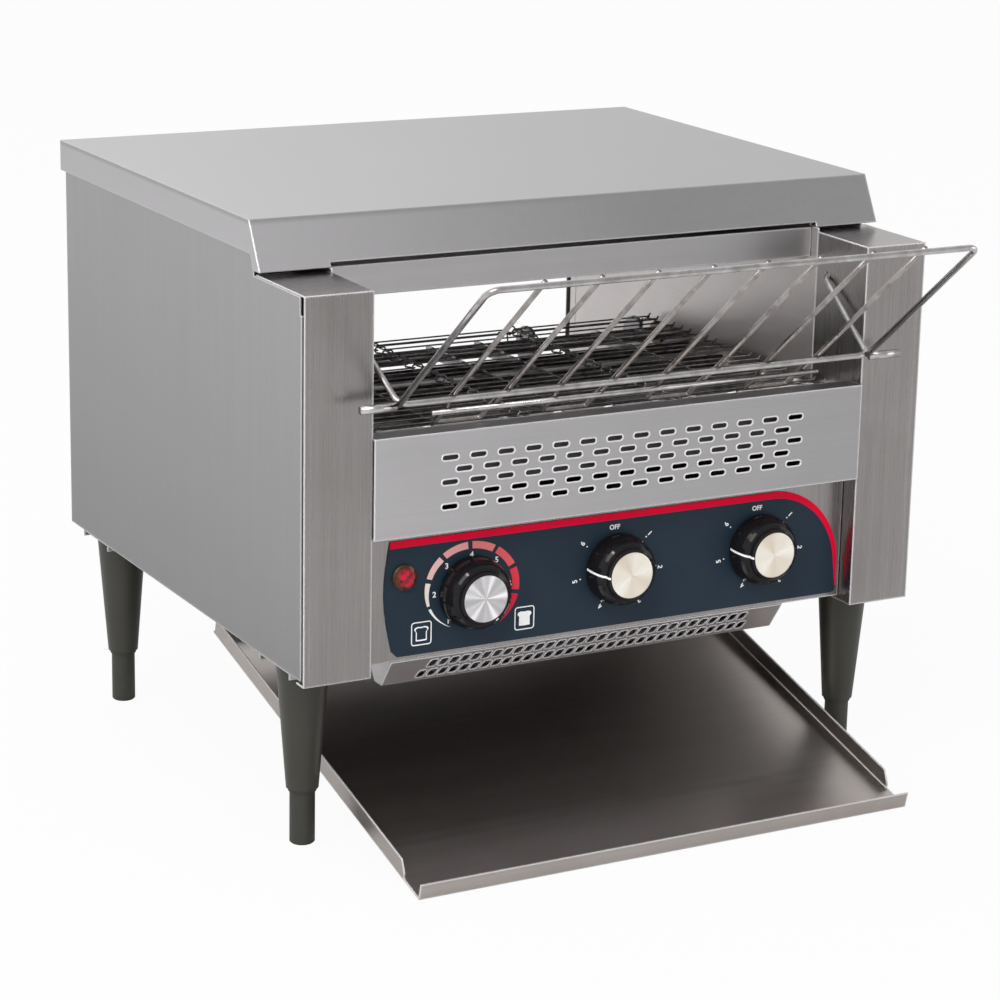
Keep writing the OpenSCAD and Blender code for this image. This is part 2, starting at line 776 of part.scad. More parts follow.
// One cross wire as [across, along the belt, out of the belt]
function joint(x) = [
    [x - neck, 0, 0], [x - crown, belt_pitch + 0.6, under], [x - crown + 1, belt_pitch + 2.6, over],
    [x + crown - 1, belt_pitch + 2.6, over], [x + crown, belt_pitch + 0.6, under], [x + neck, 0, 0]
];
function edge_hook(x) = [[x, 0, 0], [x - 3.5, belt_pitch + 0.6, under], [x + 1.5, belt_pitch + 2.6, over]];
belt_flat = 1.25;                    // size of a square wire against a round one
function reversed(list) = [for (i = [len(list) - 1 : -1 : 0]) list[i]];
function strand() = concat(
    reversed([for (p = edge_hook(belt_half - 2)) [-p[0], p[1], p[2]]]),
    joint(-joint_x), joint(joint_x), edge_hook(belt_half - 2)
);

// Corners of a square tube along a path; out is a direction never parallel to it
function tube_points(path, r, out) = let (last = len(path) - 1) [
    for (i = [0 : last]) let (
        t = unit(path[min(i + 1, last)] - path[max(i - 1, 0)]),
        u = unit(out - (out * t) * t),
        v = cross(t, u)
    ) for (a = [45, 135, 225, 315]) path[i] + r * belt_flat * (cos(a) * u + sin(a) * v)
];

// Its triangles, for a path of count points whose first corner is number first
function tube_faces(count, first) = let (end = first + 4 * (count - 1)) concat(
    [[first, first + 1, first + 2], [first, first + 2, first + 3]],
    [for (i = [0 : count - 2], k = [0 : 3]) let (a = first + 4 * i + k, b = first + 4 * i + (k + 1) % 4)
        [a, a + 4, b + 4]],
    [for (i = [0 : count - 2], k = [0 : 3]) let (a = first + 4 * i + k, b = first + 4 * i + (k + 1) % 4)
        [a, b + 4, b]],
    [[end, end + 2, end + 1], [end, end + 3, end + 2]]
);

// The points of one cross wire that lies at here and hooks round the one at next
function placed_strand(here, next) = let (along = unit(next - here), out = [-along[1], along[0]])
    [for (p = strand()) concat(p[0], here + p[1] * along + p[2] * out)];

module wire_belt() {
    places = belt_points();
    count = len(places);
    strands = [for (k = [0 : count - 1]) placed_strand(places[k], places[(k + 1) % count])];
    size = len(strands[0]);
    color("slategray") at_front() polyhedron(
        points = [for (k = [0 : count - 1]) let (d = unit(places[(k + 1) % count] - places[k]))
            for (p = tube_points(strands[k], belt_wire, [0, -d[1], d[0]])) p],
        faces = [for (k = [0 : count - 1], f = tube_faces(size, 4 * size * k)) f]
    );
}

// Slide rails under the top run, on two cross rods between the walls
module belt_rails() {
    rail_top = belt_z - belt_wire * belt_flat - seam;
    rail_low = rail_rod_z - 1;
    color("silver") at_front() {
        for (x = [-joint_x * 2, -joint_x / 3, joint_x / 3, joint_x * 2])
            box([x - 1, front_shaft_y + 18, rail_low], [x + 1, rear_shaft_y - 18, rail_top]);
        for (y = [front_shaft_y + rail_rod_inset, rear_shaft_y - rail_rod_inset])
            rod_x(-inner_w / 2, inner_w / 2, y, rail_rod_z, rail_rod_r);
    }
}

// Bushes that carry the two shafts, each with a collar against its wall
module shaft_bushes() {
    color("darkgoldenrod") at_front() for (side = ["left", "right"]) on_side(side) {
        ring_x(-wall_x - sheet - seam, -wall_x + 2, rear_shaft_y, shaft_z, shaft_bush_r, shaft_r + run_gap);
        ring_x(-wall_x - sheet - 6, -wall_x - sheet - fit_gap, rear_shaft_y, shaft_z,
            shaft_bush_r + 3, shaft_r + run_gap);
        ring_x(-wall_x + seam, -wall_x + 5, front_shaft_y, shaft_z, shaft_bush_r, shaft_r + run_gap);
    }
}

// Sprocket whose gaps hold the cross wires
module belt_sprocket(x, y) {
    tip_r = belt_r + 1.2;
    seat_r = belt_wire * belt_flat + seam;
    difference() {
        ring_x(x - sprocket_t / 2, x + sprocket_t / 2, y, shaft_z, tip_r, shaft_r + fit_gap);
        for (k = [0 : belt_teeth - 1]) translate([0, y, shaft_z]) rotate([-k * wrap, 0, 0]) {
            rod_x(x - sprocket_t, x + sprocket_t, 0, belt_r, seat_r);
            box([x - sprocket_t, -seat_r, belt_r], [x + sprocket_t, seat_r, tip_r + past]);
        }
    }
}

function sprocket_x() = [-belt_half + 16, -joint_x - 14, joint_x + 14, belt_half - 16];

module drive_sprockets() {
    color("gray") at_front() {
        for (x = sprocket_x()) belt_sprocket(x, rear_shaft_y);
        chain_sprocket(rear_shaft_y, shaft_z, shaft_r + fit_gap);
    }
}

module idler_sprockets() {
    color("gray") at_front() for (x = sprocket_x()) belt_sprocket(x, front_shaft_y);
}

module drive_shaft() {
    color("silver") at_front() rod_x(-wall_x - 9, chain_x + 8, rear_shaft_y, shaft_z, shaft_r);
}

module idler_shaft() {
    color("silver") at_front() rod_x(-wall_x + 2 * seam, wall_x - 2 * seam, front_shaft_y, shaft_z, shaft_r);
}

// ---------- drive ----------

module chain_sprocket(y, z, bore_r) {
    seat_r = roller_r + seam;
    difference() {
        ring_x(chain_x - chain_sprocket_t / 2, chain_x + chain_sprocket_t / 2, y, z, chain_r + 0.5, bore_r);
        for (k = [0 : chain_teeth - 1]) translate([0, y, z])
            rotate([chain_slope + k * 360 / chain_teeth, 0, 0])
                rod_x(chain_x - chain_sprocket_t, chain_x + chain_sprocket_t, 0, chain_r, seat_r);
    }
}

module motor_sprocket() {
    color("gray") at_front() {
        chain_sprocket(motor_y, motor_z, output_r - 0.5);
        rod_x(wall_x - 22, chain_x + 4, motor_y, motor_z, output_r);
    }
}

// Geared motor on the right inner wall; its output shaft turns in a bore
module gearmotor() {
    box_half = motor_r + 2;
    color("slategray") at_front() difference() {
        union() {
            box([wall_x - 32, motor_y - box_half, motor_z - box_half],
                [wall_x - seam, motor_y + box_half, motor_z + box_half]);
            rod_x(wall_x - 100, wall_x - 32, motor_y, motor_z, motor_r);
            rod_x(wall_x - 106, wall_x - 100, motor_y, motor_z, motor_r / 3);
        }
        rod_x(wall_x - 24, wall_x + past, motor_y, motor_z, output_r + run_gap);
    }
}

// Outline of the chain's loop, r off each sprocket's centre; X runs up the chain
module chain_loop(r) {
    circle(r = r);
    translate([chain_len, 0]) circle(r = r);
    translate([0, -r]) square([chain_len, 2 * r]);
}

// Rollers at each pitch, held by a plate on either side
module drive_chain() {
    plate_half = 2.2;
    color("dimgray") at_front() translate([chain_x, motor_y, motor_z]) rotate([90 + chain_slope, 0, 0])
        rotate([0, 90, 0]) rotate([0, 0, 90]) {
            for (z = [-chain_sprocket_t / 2 - seam - 0.8, chain_sprocket_t / 2 + seam])
                translate([0, 0, z]) linear_extrude(0.8) difference() {
                    chain_loop(chain_r + plate_half);
                    chain_loop(chain_r - plate_half);
                }
            for (p = chain_rollers()) translate([p[0], p[1], -chain_sprocket_t / 2 - seam])
                cylinder(h = chain_sprocket_t + 2 * seam, r = roller_r, $fn = 24);
        }
}

function chain_rollers() = concat(
    [for (i = [0 : chain_run], side = [-1, 1]) [i * chain_pitch, side * chain_r]],
    [for (k = [1 : chain_teeth / 2 - 1], end = [0, 1]) let (a = 90 + k * 360 / chain_teeth)
        [end * chain_len + (1 - 2 * end) * chain_r * cos(a), chain_r * sin(a)]]
);

// ---------- controls ----------

knob_back = overlay_face - 0.4;

// Knob: a domed skirt, a shoulder and a rim round the metal face
module knob(x, z) {
    face_h = knob_len - 1;
    skirt_h = 2;
    dome_h = 15;
    dome_r = face_r + 2.4;
    color("black") at_front() translate([x, knob_back, z]) rotate([90, 0, 0]) difference() {
        rotate_extrude() polygon(concat(
            [[0, 0], [knob_r - 0.5, 0]],
            [for (a = [0 : 15 : 90]) [dome_r + (knob_r - dome_r) * cos(a), skirt_h + dome_h * sin(a)]],
            [[face_r + 2, face_h], [face_r + 0.7, knob_len], [face_r + 0.1, knob_len],
                [face_r + 0.1, face_h], [0, face_h]]
        ));
        translate([0, 0, -past]) cylinder(h = 14 + past, r = spindle_r + fit_gap);
    }
}

module knob_face(x, z) {
    color("gainsboro") at_front() translate([x, knob_back - knob_len + 1, z]) rotate([90, 0, 0])
        rotate_extrude() polygon([
            [0, fit_gap], [face_r, fit_gap], [face_r, 0.7], [face_r - 0.5, 0.9], [0, 0.7]
        ]);
}

module spindle(x, z) {
    color("silver") at_front() rod_y(knob_back - 13.5, fascia_y + 22, x, z, spindle_r);
}

module speed_knob() {
    knob(speed_x, speed_z);
}

module top_element_knob() {
    knob(top_knob_x, knob_z);
}

module bottom_element_knob() {
    knob(bottom_knob_x, knob_z);
}

module speed_knob_face() {
    knob_face(speed_x, speed_z);
}

module top_knob_face() {
    knob_face(top_knob_x, knob_z);
}

module bottom_knob_face() {
    knob_face(bottom_knob_x, knob_z);
}

module speed_spindle() {
    spindle(speed_x, speed_z);
}

module top_switch_spindle() {
    spindle(top_knob_x, knob_z);
}

module bottom_switch_spindle() {
    spindle(bottom_knob_x, knob_z);
}

// Rotary switch behind the fascia, with its terminals at the back
module rotary_switch(x) {
    face = fascia_y + sheet + fit_gap;
    color("ivory") at_front() {
        difference() {
            union() {
                box([x - 16, face + 2, knob_z - 20], [x + 16, face + 30, knob_z + 20]);
                rod_y(face, face + 3, x, knob_z, 12);
            }
            rod_y(face - past, fascia_y + 24, x, knob_z, spindle_r + run_gap);
        }
        for (side = [-1, 1], i = [0 : 2])
            box([x + side * 10 - 0.4, face + 30, knob_z - 14 + 11 * i], [x + side * 10 + 0.4, face + 38, knob_z - 8 + 11 * i]);
    }
}

module top_element_switch() {
    rotary_switch(top_knob_x);
}

module bottom_element_switch() {
    rotary_switch(bottom_knob_x);
}

// Speed control: a round track on a small circuit board
module speed_regulator() {
    face = fascia_y + sheet + fit_gap;
    color("darkgreen") at_front() difference() {
        union() {
            rod_y(face, face + 14, speed_x, speed_z, 13);
            box([speed_x - 30, face + 12, speed_z - 24], [speed_x + 30, face + 13.6, speed_z + 24]);
            for (side = [-1, 1]) box([speed_x + side * 20 - 6, face + 13, speed_z - 18],
                [speed_x + side * 20 + 6, face + 27, speed_z + 16]);
        }
        rod_y(face - past, fascia_y + 24, speed_x, speed_z, spindle_r + run_gap);
    }
}

module lamp_bezel() {
    color("silver") at_front() translate([lamp_x, overlay_face - fit_gap, lamp_z]) rotate([90, 0, 0])
        rotate_extrude() polygon([
            [lamp_r - 1.6, 0], [lamp_r, 0], [lamp_r, 1.2], [lamp_r - 0.8, 2.4], [lamp_r - 1.6, 2.4]
        ]);
}

// Lens with a stem that runs back through the fascia
module lamp_lens() {
    stem_r = lamp_r - 2;
    color("darkred") at_front() translate([lamp_x, overlay_face, lamp_z]) rotate([90, 0, 0])
        rotate_extrude() polygon(concat(
            [[0, -26], [stem_r, -26], [stem_r, 1.5]],
            [for (a = [0 : 15 : 90]) [stem_r * cos(a), 1.5 + 3.5 * sin(a)]]
        ));
}

module terminal_block() {
    color("ivory") at_front() translate([-wall_x + 69, 150, base_top]) difference() {
        union() {
            box([-40, -12, 0], [40, 12, 10]);
            for (i = [0 : 5]) box([-40 + 14 * i, -8, 10], [-30 + 14 * i, 8, 20]);
        }
        for (i = [0 : 5]) translate([-35 + 14 * i, 0, 8]) cylinder(h = 14, r = 2.5);
    }
}

// Gland for the supply cable, with its nuts on either side of the rear panel
module cable_gland() {
    inside = body_d - sheet;
    color("black") at_front() difference() {
        union() {
            rod_y(inside - 8, body_d + 1, gland_x, gland_z, gland_thread_r);
            rod_y(inside - 5, inside - fit_gap, gland_x, gland_z, gland_thread_r + 3, $fn = 6);
            rod_y(body_d + fit_gap, cover_rear, gland_x, gland_z, gland_thread_r + 3);
        }
        rod_y(inside - 8 - past, cover_rear + past, gland_x, gland_z, gland_bore);
    }
}

// ---------- legs and feet ----------

leg_x = side_x - leg_inset_x;
leg_front_y = leg_inset_y;
leg_rear_y = body_d - leg_inset_y;
thread_gap = run_gap;

// Tapering leg with a threaded sleeve for its foot
module leg(x, y) {
    color("dimgray") at_front() translate([x, y, 0]) difference() {
        translate([0, 0, leg_end_z])
            cylinder(h = leg_top_z - leg_end_z, r1 = leg_end_r, r2 = leg_top_r);
        translate([0, 0, leg_end_z - past])
            cylinder(h = foot_screw_len + 4 + past, r = foot_screw_r + thread_gap);
    }
}

// Foot: a plain barrel with a chamfered end and a screw that stands in the leg
module foot(x, y) {
    barrel_top = leg_end_z - seam;
    color("darkslategray") at_front() translate([x, y, 0]) {
        rotate_extrude() polygon([
            [0, 0], [foot_r - 1, 0], [foot_r, 1], [foot_r, barrel_top - 2],
            [foot_r + 1, barrel_top - 2], [foot_r + 1, barrel_top],
            [foot_screw_r, barrel_top], [foot_screw_r, barrel_top + foot_screw_len], [0, barrel_top + foot_screw_len]
        ]);
    }
}

module front_left_leg() {
    leg(-leg_x, leg_front_y);
}

module front_right_leg() {
    leg(leg_x, leg_front_y);
}

module rear_left_leg() {
    leg(-leg_x, leg_rear_y);
}

module rear_right_leg() {
    leg(leg_x, leg_rear_y);
}

module front_left_foot() {
    foot(-leg_x, leg_front_y);
}

module front_right_foot() {
    foot(leg_x, leg_front_y);
}

module rear_left_foot() {
    foot(-leg_x, leg_rear_y);
}

module rear_right_foot() {
    foot(leg_x, leg_rear_y);
}

// Plates that spread each leg's load under the side panel's flange
module leg_plates() {
    low = body_bottom - leg_plate_t - seam / 2;
    color("gainsboro") at_front() for (side = ["left", "right"], y = [leg_front_y, leg_rear_y])
        on_side(side) {
            box([-side_x + sheet, y - 24, low], [-wall_x - 5, y + 24, low + leg_plate_t]);
            for (end = [-1, 1]) box([-side_x + sheet, y + end * 24 - (end > 0 ? sheet : 0), low - 4],
                [-wall_x - 5, y + end * 24 + (end > 0 ? 0 : sheet), low + leg_plate_t]);
        }
}

// ---------- tray ----------

// Sloping tray: its floor, front lip and two side flanges
module toast_tray() {
    up = [-sin(tray_tilt), cos(tray_tilt)];
    rear = [tray_rear_y, tray_rear_z];
    front = [-tray_reach, tray_front_z];
    side_front = -tray_reach + 22;
    side_foot = [side_front, tray_floor(side_front)];
    side_rear = tray_rear_y - 2 * sheet;
    side_heel = [side_rear, tray_floor(side_rear)];
    color("silver") at_front() {
        bent_sheet([rear, front, front + tray_lip_h * up], -tray_half_w, 2 * tray_half_w);
        for (x = [-tray_half_w, tray_half_w - sheet]) along_x(x, sheet) polygon([
            side_heel, side_heel + tray_side_h * up,
            [side_front + 6, tray_floor(side_front + 6)] + tray_side_h * up,
            side_foot + 4 * up, side_foot
        ]);
    }
}

// ---------- loading rack ----------

function at_x(x, p) = [x, p[0], p[1]];

// Wires on which the bread slides down to the belt, in a frame that hangs on
// two pivots and rests with its wires' lower ends on the sill
module loading_rack() {
    low = rail_at(rack_low, rack_frame);
    mid = rail_at(rack_mid, rack_wire);
    top = rail_at(rack_top, rack_frame);
    pivot = [rack_pivot_y, rack_pivot_z];
    pivot_x = wall_x - rack_frame - 1;
    corner = 9;
    top_in = rail_at(rack_top - corner, rack_frame);
    mid_half = rack_half - rack_pitch + 7;
    color("silver") at_front() {
        wire(at_x(-rack_half, low), at_x(rack_half, low), rack_frame);
        wire(at_x(-mid_half, mid), at_x(mid_half, mid), rack_wire);
        wire(at_x(-rack_half + corner, top), at_x(rack_half - corner, top), rack_frame);
        for (side = [-1, 1]) {
            stub_x = side * (rack_half + rack_stub);
            wire(at_x(side * (rack_half - 3), low), at_x(stub_x, low), rack_frame + 0.7);
            wire(at_x(side * rack_half, low), at_x(side * rack_half, top_in), rack_frame);
            wire(at_x(side * rack_half, top_in), at_x(side * (rack_half - corner), top), rack_frame);
            wire(at_x(side * rack_half, low), at_x(side * pivot_x, pivot), rack_frame);
            wire(at_x(side * pivot_x, pivot), at_x(side * (wall_x + 4), pivot), rack_frame);
            bend(at_x(side * rack_half, top_in), rack_frame);
            bend(at_x(side * (rack_half - corner), top), rack_frame);
            bend(at_x(side * pivot_x, pivot), rack_frame);
        }
        for (i = [-3.5 : 1 : 3.5])
            wire(at_x(i * rack_pitch, rack_at(0)), at_x(i * rack_pitch, rack_at(rack_nub)), rack_wire);
        for (i = [-3 : 2 : 3]) {
            wire(at_x((i - 0.5) * rack_pitch, rack_at(0)), at_x((i + 0.5) * rack_pitch, rack_at(0)), rack_wire);
            for (end = [-0.5, 0.5]) bend(at_x((i + end) * rack_pitch, rack_at(0)), rack_wire);
        }
    }
}

top_cover();
left_side_panel();
right_side_panel();
left_front_pillar();
right_front_pillar();
left_inner_wall();
right_inner_wall();
header_panel();
vent_panel();
control_fascia();
control_overlay();
lower_grille();
base_pan();
rear_panel();
drop_chute();
compartment_shield();
top_reflector();
bottom_reflector();
top_elements();
bottom_elements();
element_bushes();
wire_belt();
belt_rails();
shaft_bushes();
drive_shaft();
drive_sprockets();
idler_shaft();
idler_sprockets();
gearmotor();
motor_sprocket();
drive_chain();
lamp_bezel();
lamp_lens();
top_element_switch();
bottom_element_switch();
speed_regulator();
terminal_block();
speed_knob();
top_element_knob();
bottom_element_knob();
speed_knob_face();
top_knob_face();
bottom_knob_face();
speed_spindle();
top_switch_spindle();
bottom_switch_spindle();
front_left_leg();
front_right_leg();
rear_left_leg();
rear_right_leg();
front_left_foot();
front_right_foot();
rear_left_foot();
rear_right_foot();
leg_plates();
toast_tray();
loading_rack();
cable_gland();
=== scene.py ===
import bmesh
import bpy
from math import atan2, cos, pi, radians, sin, sqrt, tau
from mathutils import Matrix, Vector


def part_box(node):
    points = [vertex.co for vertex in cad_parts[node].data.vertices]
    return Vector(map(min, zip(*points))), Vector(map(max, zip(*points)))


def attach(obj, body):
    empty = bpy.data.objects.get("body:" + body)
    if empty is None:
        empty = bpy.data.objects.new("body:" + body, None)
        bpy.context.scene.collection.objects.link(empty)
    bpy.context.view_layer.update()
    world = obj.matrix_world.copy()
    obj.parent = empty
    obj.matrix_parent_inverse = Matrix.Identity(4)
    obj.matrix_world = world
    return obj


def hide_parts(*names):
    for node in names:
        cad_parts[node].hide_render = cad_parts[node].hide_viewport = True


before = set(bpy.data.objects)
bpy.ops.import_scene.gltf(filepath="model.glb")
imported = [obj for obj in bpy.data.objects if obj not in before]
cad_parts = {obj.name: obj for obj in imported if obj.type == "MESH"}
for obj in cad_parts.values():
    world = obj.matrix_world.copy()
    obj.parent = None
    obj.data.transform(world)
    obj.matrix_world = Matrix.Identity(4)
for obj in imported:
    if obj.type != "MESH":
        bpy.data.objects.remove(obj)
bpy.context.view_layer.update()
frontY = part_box("left_front_pillar")[0].y  # front of the pillars, where y is 0 below
mm = 0.001


def at(x, y, z):  # a place in mm, y counted from the front of the pillars, in the frame's metres
    return Vector((x * mm, y * mm + frontY, z * mm))


def newObject(name, data):
    made = bpy.data.objects.new(name, data)
    bpy.context.collection.objects.link(made)
    return made


# Camera at the picture's viewing angle: place and lens in mm, angles in degrees
cameraLook = {"place": (-1042.9, -1739.3, 792.2), "azimuth": -29.718, "elevation": 15.591,
              "roll": 1.494, "lens": 112.46, "shiftX": -0.06025, "shiftY": -0.00237}
turn, lift, roll = (radians(cameraLook[key]) for key in ("azimuth", "elevation", "roll"))
back = Vector((sin(turn) * cos(lift), -cos(turn) * cos(lift), sin(lift)))
right = Vector((cos(turn), sin(turn), 0))
up = back.cross(right)
axes = (cos(roll) * right + sin(roll) * up, cos(roll) * up - sin(roll) * right, back)
camera = newObject("camera", bpy.data.cameras.new("camera"))
camera.matrix_world = (Matrix.Translation(at(*cameraLook["place"]))
                       @ Matrix(axes).transposed().to_4x4())
camera.data.lens = cameraLook["lens"]
camera.data.shift_x = cameraLook["shiftX"]
camera.data.shift_y = cameraLook["shiftY"]
bpy.context.scene.camera = camera
bpy.context.scene.view_settings.view_transform = "Standard"

# Soft round lights that all look at the machine's middle: places in mm, sizes in metres
lightAim = (0, 140, 180)
softBoxes = {"key": {"place": (-1500, -900, 1900), "size": 1.8, "power": 34},
             "fill": {"place": (2000, -900, 450), "size": 1.6, "power": 8},
             "rear": {"place": (300, 2300, 1900), "size": 2.0, "power": 5},
             "glint": {"place": (-900, -1400, 2200), "size": 0.3, "power": 4}}
for name, look in softBoxes.items():
    lamp = newObject(name, bpy.data.lights.new(name, "AREA"))
    lamp.data.shape = "DISK"
    lamp.data.size = look["size"]
    lamp.data.energy = look["power"]
    lamp.location = at(*look["place"])
    lamp.rotation_euler = (at(*lightAim) - lamp.location).to_track_quat("-Z", "Y").to_euler()


# Node helpers
def addNode(tree, kind, inputs=None, **settings):
    made = tree.nodes.new(kind)
    for key, value in settings.items():
        setattr(made, key, value)
    for socket, value in (inputs or {}).items():
        feed(tree, made, socket, value)
    return made


def feed(tree, node, socket, value):  # a number is set on the socket, an output is linked to it
    if isinstance(value, bpy.types.NodeSocket):
        tree.links.new(value, node.inputs[socket])
    else:
        node.inputs[socket].default_value = value


def newGroup(name, kind, inputs, outputs):
    tree = bpy.data.node_groups.new(name, kind)
    for socketName, socketKind, value in inputs:
        socket = tree.interface.new_socket(socketName, in_out="INPUT",
                                           socket_type="NodeSocket" + socketKind)
        if value is not None:
            socket.default_value = value
    for socketName, socketKind in outputs:
        tree.interface.new_socket(socketName, in_out="OUTPUT",
                                  socket_type="NodeSocket" + socketKind)
    return tree, tree.nodes.new("NodeGroupInput").outputs, tree.nodes.new("NodeGroupOutput").inputs


def placeGroup(tree, group, **values):
    return addNode(tree, "ShaderNodeGroup", values, node_tree=group).outputs


def math(tree, operation, first, second=0.0, third=0.0, clamp=False):
    return addNode(tree, "ShaderNodeMath", {0: first, 1: second, 2: third},
                   operation=operation, use_clamp=clamp).outputs[0]


def mixColour(tree, factor, first, second):
    return addNode(tree, "ShaderNodeMix", {0: factor, 6: first, 7: second},
                   data_type="RGBA").outputs[2]


def ramp(tree, value, start, end, top=1.0):  # 0 at start, top at end
    return addNode(tree, "ShaderNodeMapRange", {
        "Value": value, "From Min": start, "From Max": end, "To Max": top}).outputs[0]


def noise(tree, vector, scale, **more):
    sockets = {"Vector": vector, "Scale": scale, "Detail": 2.0}
    return addNode(tree, "ShaderNodeTexNoise", {**sockets, **more}).outputs["Fac"]


def vectorMath(tree, operation, first, second, output):
    return addNode(tree, "ShaderNodeVectorMath", {0: first, 1: second},
                   operation=operation).outputs[output]


def objectCoords(tree):
    return addNode(tree, "ShaderNodeTexCoord").outputs["Object"]


def split(tree, vector):
    return addNode(tree, "ShaderNodeSeparateXYZ", {0: vector}).outputs


def offCentre(tree, coords, centre):  # how far right, how far up and how far in all
    parts = split(tree, coords)
    dx = math(tree, "SUBTRACT", parts[0], centre.x)
    dz = math(tree, "SUBTRACT", parts[2], centre.z)
    squares = [math(tree, "MULTIPLY", side, side) for side in (dx, dz)]
    return dx, dz, math(tree, "SQRT", math(tree, "ADD", *squares))


def addBump(tree, shader, height, strength, distance=0.2, **more):  # distance in mm
    sockets = {"Strength": strength, "Distance": distance * mm, "Height": height}
    bump = addNode(tree, "ShaderNodeBump", {**sockets, **more})
    feed(tree, shader, "Normal", bump.outputs[0])


def emptyTree(owner):
    owner.use_nodes = True
    owner.node_tree.nodes.clear()
    return owner.node_tree


def seenByCamera(tree):  # 1 for what the camera looks at, straight or through clear pieces
    path = addNode(tree, "ShaderNodeLightPath").outputs
    return math(tree, "MAXIMUM", path["Is Camera Ray"], path["Is Transmission Ray"])


# The camera sees white; what the machine mirrors is darker towards the front right
roomLook = {"ambient": 1.0, "mirrored": 0.92, "darkSide": (0.6, -0.6, 0.53), "fallFrom": 0.3,
            "fall": 0.42}
white, shadeBlack = (1, 1, 1, 1), (0, 0, 0, 1)
world = bpy.data.worlds.new("studio")
bpy.context.scene.world = world
tree = emptyTree(world)
direction = addNode(tree, "ShaderNodeTexCoord").outputs["Generated"]
darkness = addNode(tree, "ShaderNodeMapRange", {
    "Value": vectorMath(tree, "DOT_PRODUCT", direction, roomLook["darkSide"], "Value"),
    "From Min": roomLook["fallFrom"], "From Max": 1.0,
    "To Min": 1.0, "To Max": 1.0 - roomLook["fall"]}, interpolation_type="SMOOTHSTEP").outputs[0]
glossy = addNode(tree, "ShaderNodeLightPath").outputs["Is Glossy Ray"]
level = math(tree, "MULTIPLY_ADD", glossy, roomLook["mirrored"] - roomLook["ambient"],
             roomLook["ambient"])
strength = addNode(tree, "ShaderNodeMix", {
    0: seenByCamera(tree), 2: math(tree, "MULTIPLY", level, darkness), 3: 1.0}).outputs[0]
room = addNode(tree, "ShaderNodeBackground", {"Color": white, "Strength": strength})
tree.links.new(room.outputs[0], addNode(tree, "ShaderNodeOutputWorld").inputs[0])

floorLook = {"size": 12, "colour": (0.66, 0.66, 0.66, 1), "glow": 0.94}
half = floorLook["size"] / 2
floorMesh = bpy.data.meshes.new("floor")
floorMesh.from_pydata([(-half, -half, 0), (half, -half, 0), (half, half, 0), (-half, half, 0)],
                      [], [(0, 1, 2, 3)])
floor = newObject("floor", floorMesh)
floorPaint = bpy.data.materials.new("floorPaint")
tree = emptyTree(floorPaint)
matt = addNode(tree, "ShaderNodeBsdfDiffuse", {"Color": floorLook["colour"]})
glow = addNode(tree, "ShaderNodeEmission", {"Color": white, "Strength": 1.0})
both = addNode(tree, "ShaderNodeMixShader", {
    0: math(tree, "MULTIPLY", seenByCamera(tree), floorLook["glow"]),
    1: matt.outputs[0], 2: glow.outputs[0]})
tree.links.new(both.outputs[0], addNode(tree, "ShaderNodeOutputMaterial").inputs[0])
floorMesh.materials.append(floorPaint)
print("camera, light and floor are set")

# Fine parallel scratches of brushed sheet, drawn out along the direction with the smallest scale
grainLook = {"fine": 0.6, "broad": 0.4}
grain, inside, outside = newGroup("brushedGrain", "ShaderNodeTree", [
    ("Scale", "Vector", (1500, 1500, 18)), ("Streaks", "Float", 0.12)],
    [("Shade", "Float"), ("Height", "Float")])
stretched = vectorMath(grain, "MULTIPLY", objectCoords(grain), inside["Scale"], 0)
fine = noise(grain, stretched, 1.0, Roughness=0.6)
broad = noise(grain, stretched, inside["Streaks"], Roughness=0.5)
shade = math(grain, "ADD", math(grain, "MULTIPLY", fine, grainLook["fine"]),
             math(grain, "MULTIPLY", broad, grainLook["broad"]))
grain.links.new(shade, outside["Shade"])
grain.links.new(fine, outside["Height"])

# Soft cloudy marks that handling and cleaning leave
smudgeLook = {"from": 0.35, "to": 0.7}
smudge, inside, outside = newGroup("handlingMarks", "ShaderNodeTree",
                                   [("Scale", "Float", 14.0)], [("Mask", "Float")])
cloud = noise(smudge, objectCoords(smudge), inside["Scale"], Detail=4.0, Roughness=0.55,
              Distortion=0.6)
smudge.links.new(ramp(smudge, cloud, smudgeLook["from"], smudgeLook["to"]), outside["Mask"])

# Bright line painted where a folded or cut edge catches the light, from how far a rounded edge
# leans off
edgeLook = {"from": 0.995, "to": 0.93}
edges, inside, outside = newGroup("edgeShine", "ShaderNodeTree", [("Radius", "Float", 0.0015)],
                                  [("Mask", "Float"), ("Normal", "Vector")])
rounded = addNode(edges, "ShaderNodeBevel", {"Radius": inside["Radius"]}, samples=6).outputs[0]
plain = addNode(edges, "ShaderNodeNewGeometry").outputs["Normal"]
flatness = vectorMath(edges, "DOT_PRODUCT", rounded, plain, "Value")
edges.links.new(ramp(edges, flatness, edgeLook["from"], edgeLook["to"]), outside["Mask"])
edges.links.new(rounded, outside["Normal"])


def newMaterial(name, **sockets):
    made = bpy.data.materials.new(name)
    made.use_nodes = True
    shader = made.node_tree.nodes["Principled BSDF"]
    for socket, value in sockets.items():
        feed(made.node_tree, shader, socket.replace("_", " "), value)
    return made, made.node_tree, shader


def grey(value, warmth=0.0):  # with a trace less green, as steel looks
    return (value * (1 + warmth), value * 0.98, value * (1 - warmth), 1)
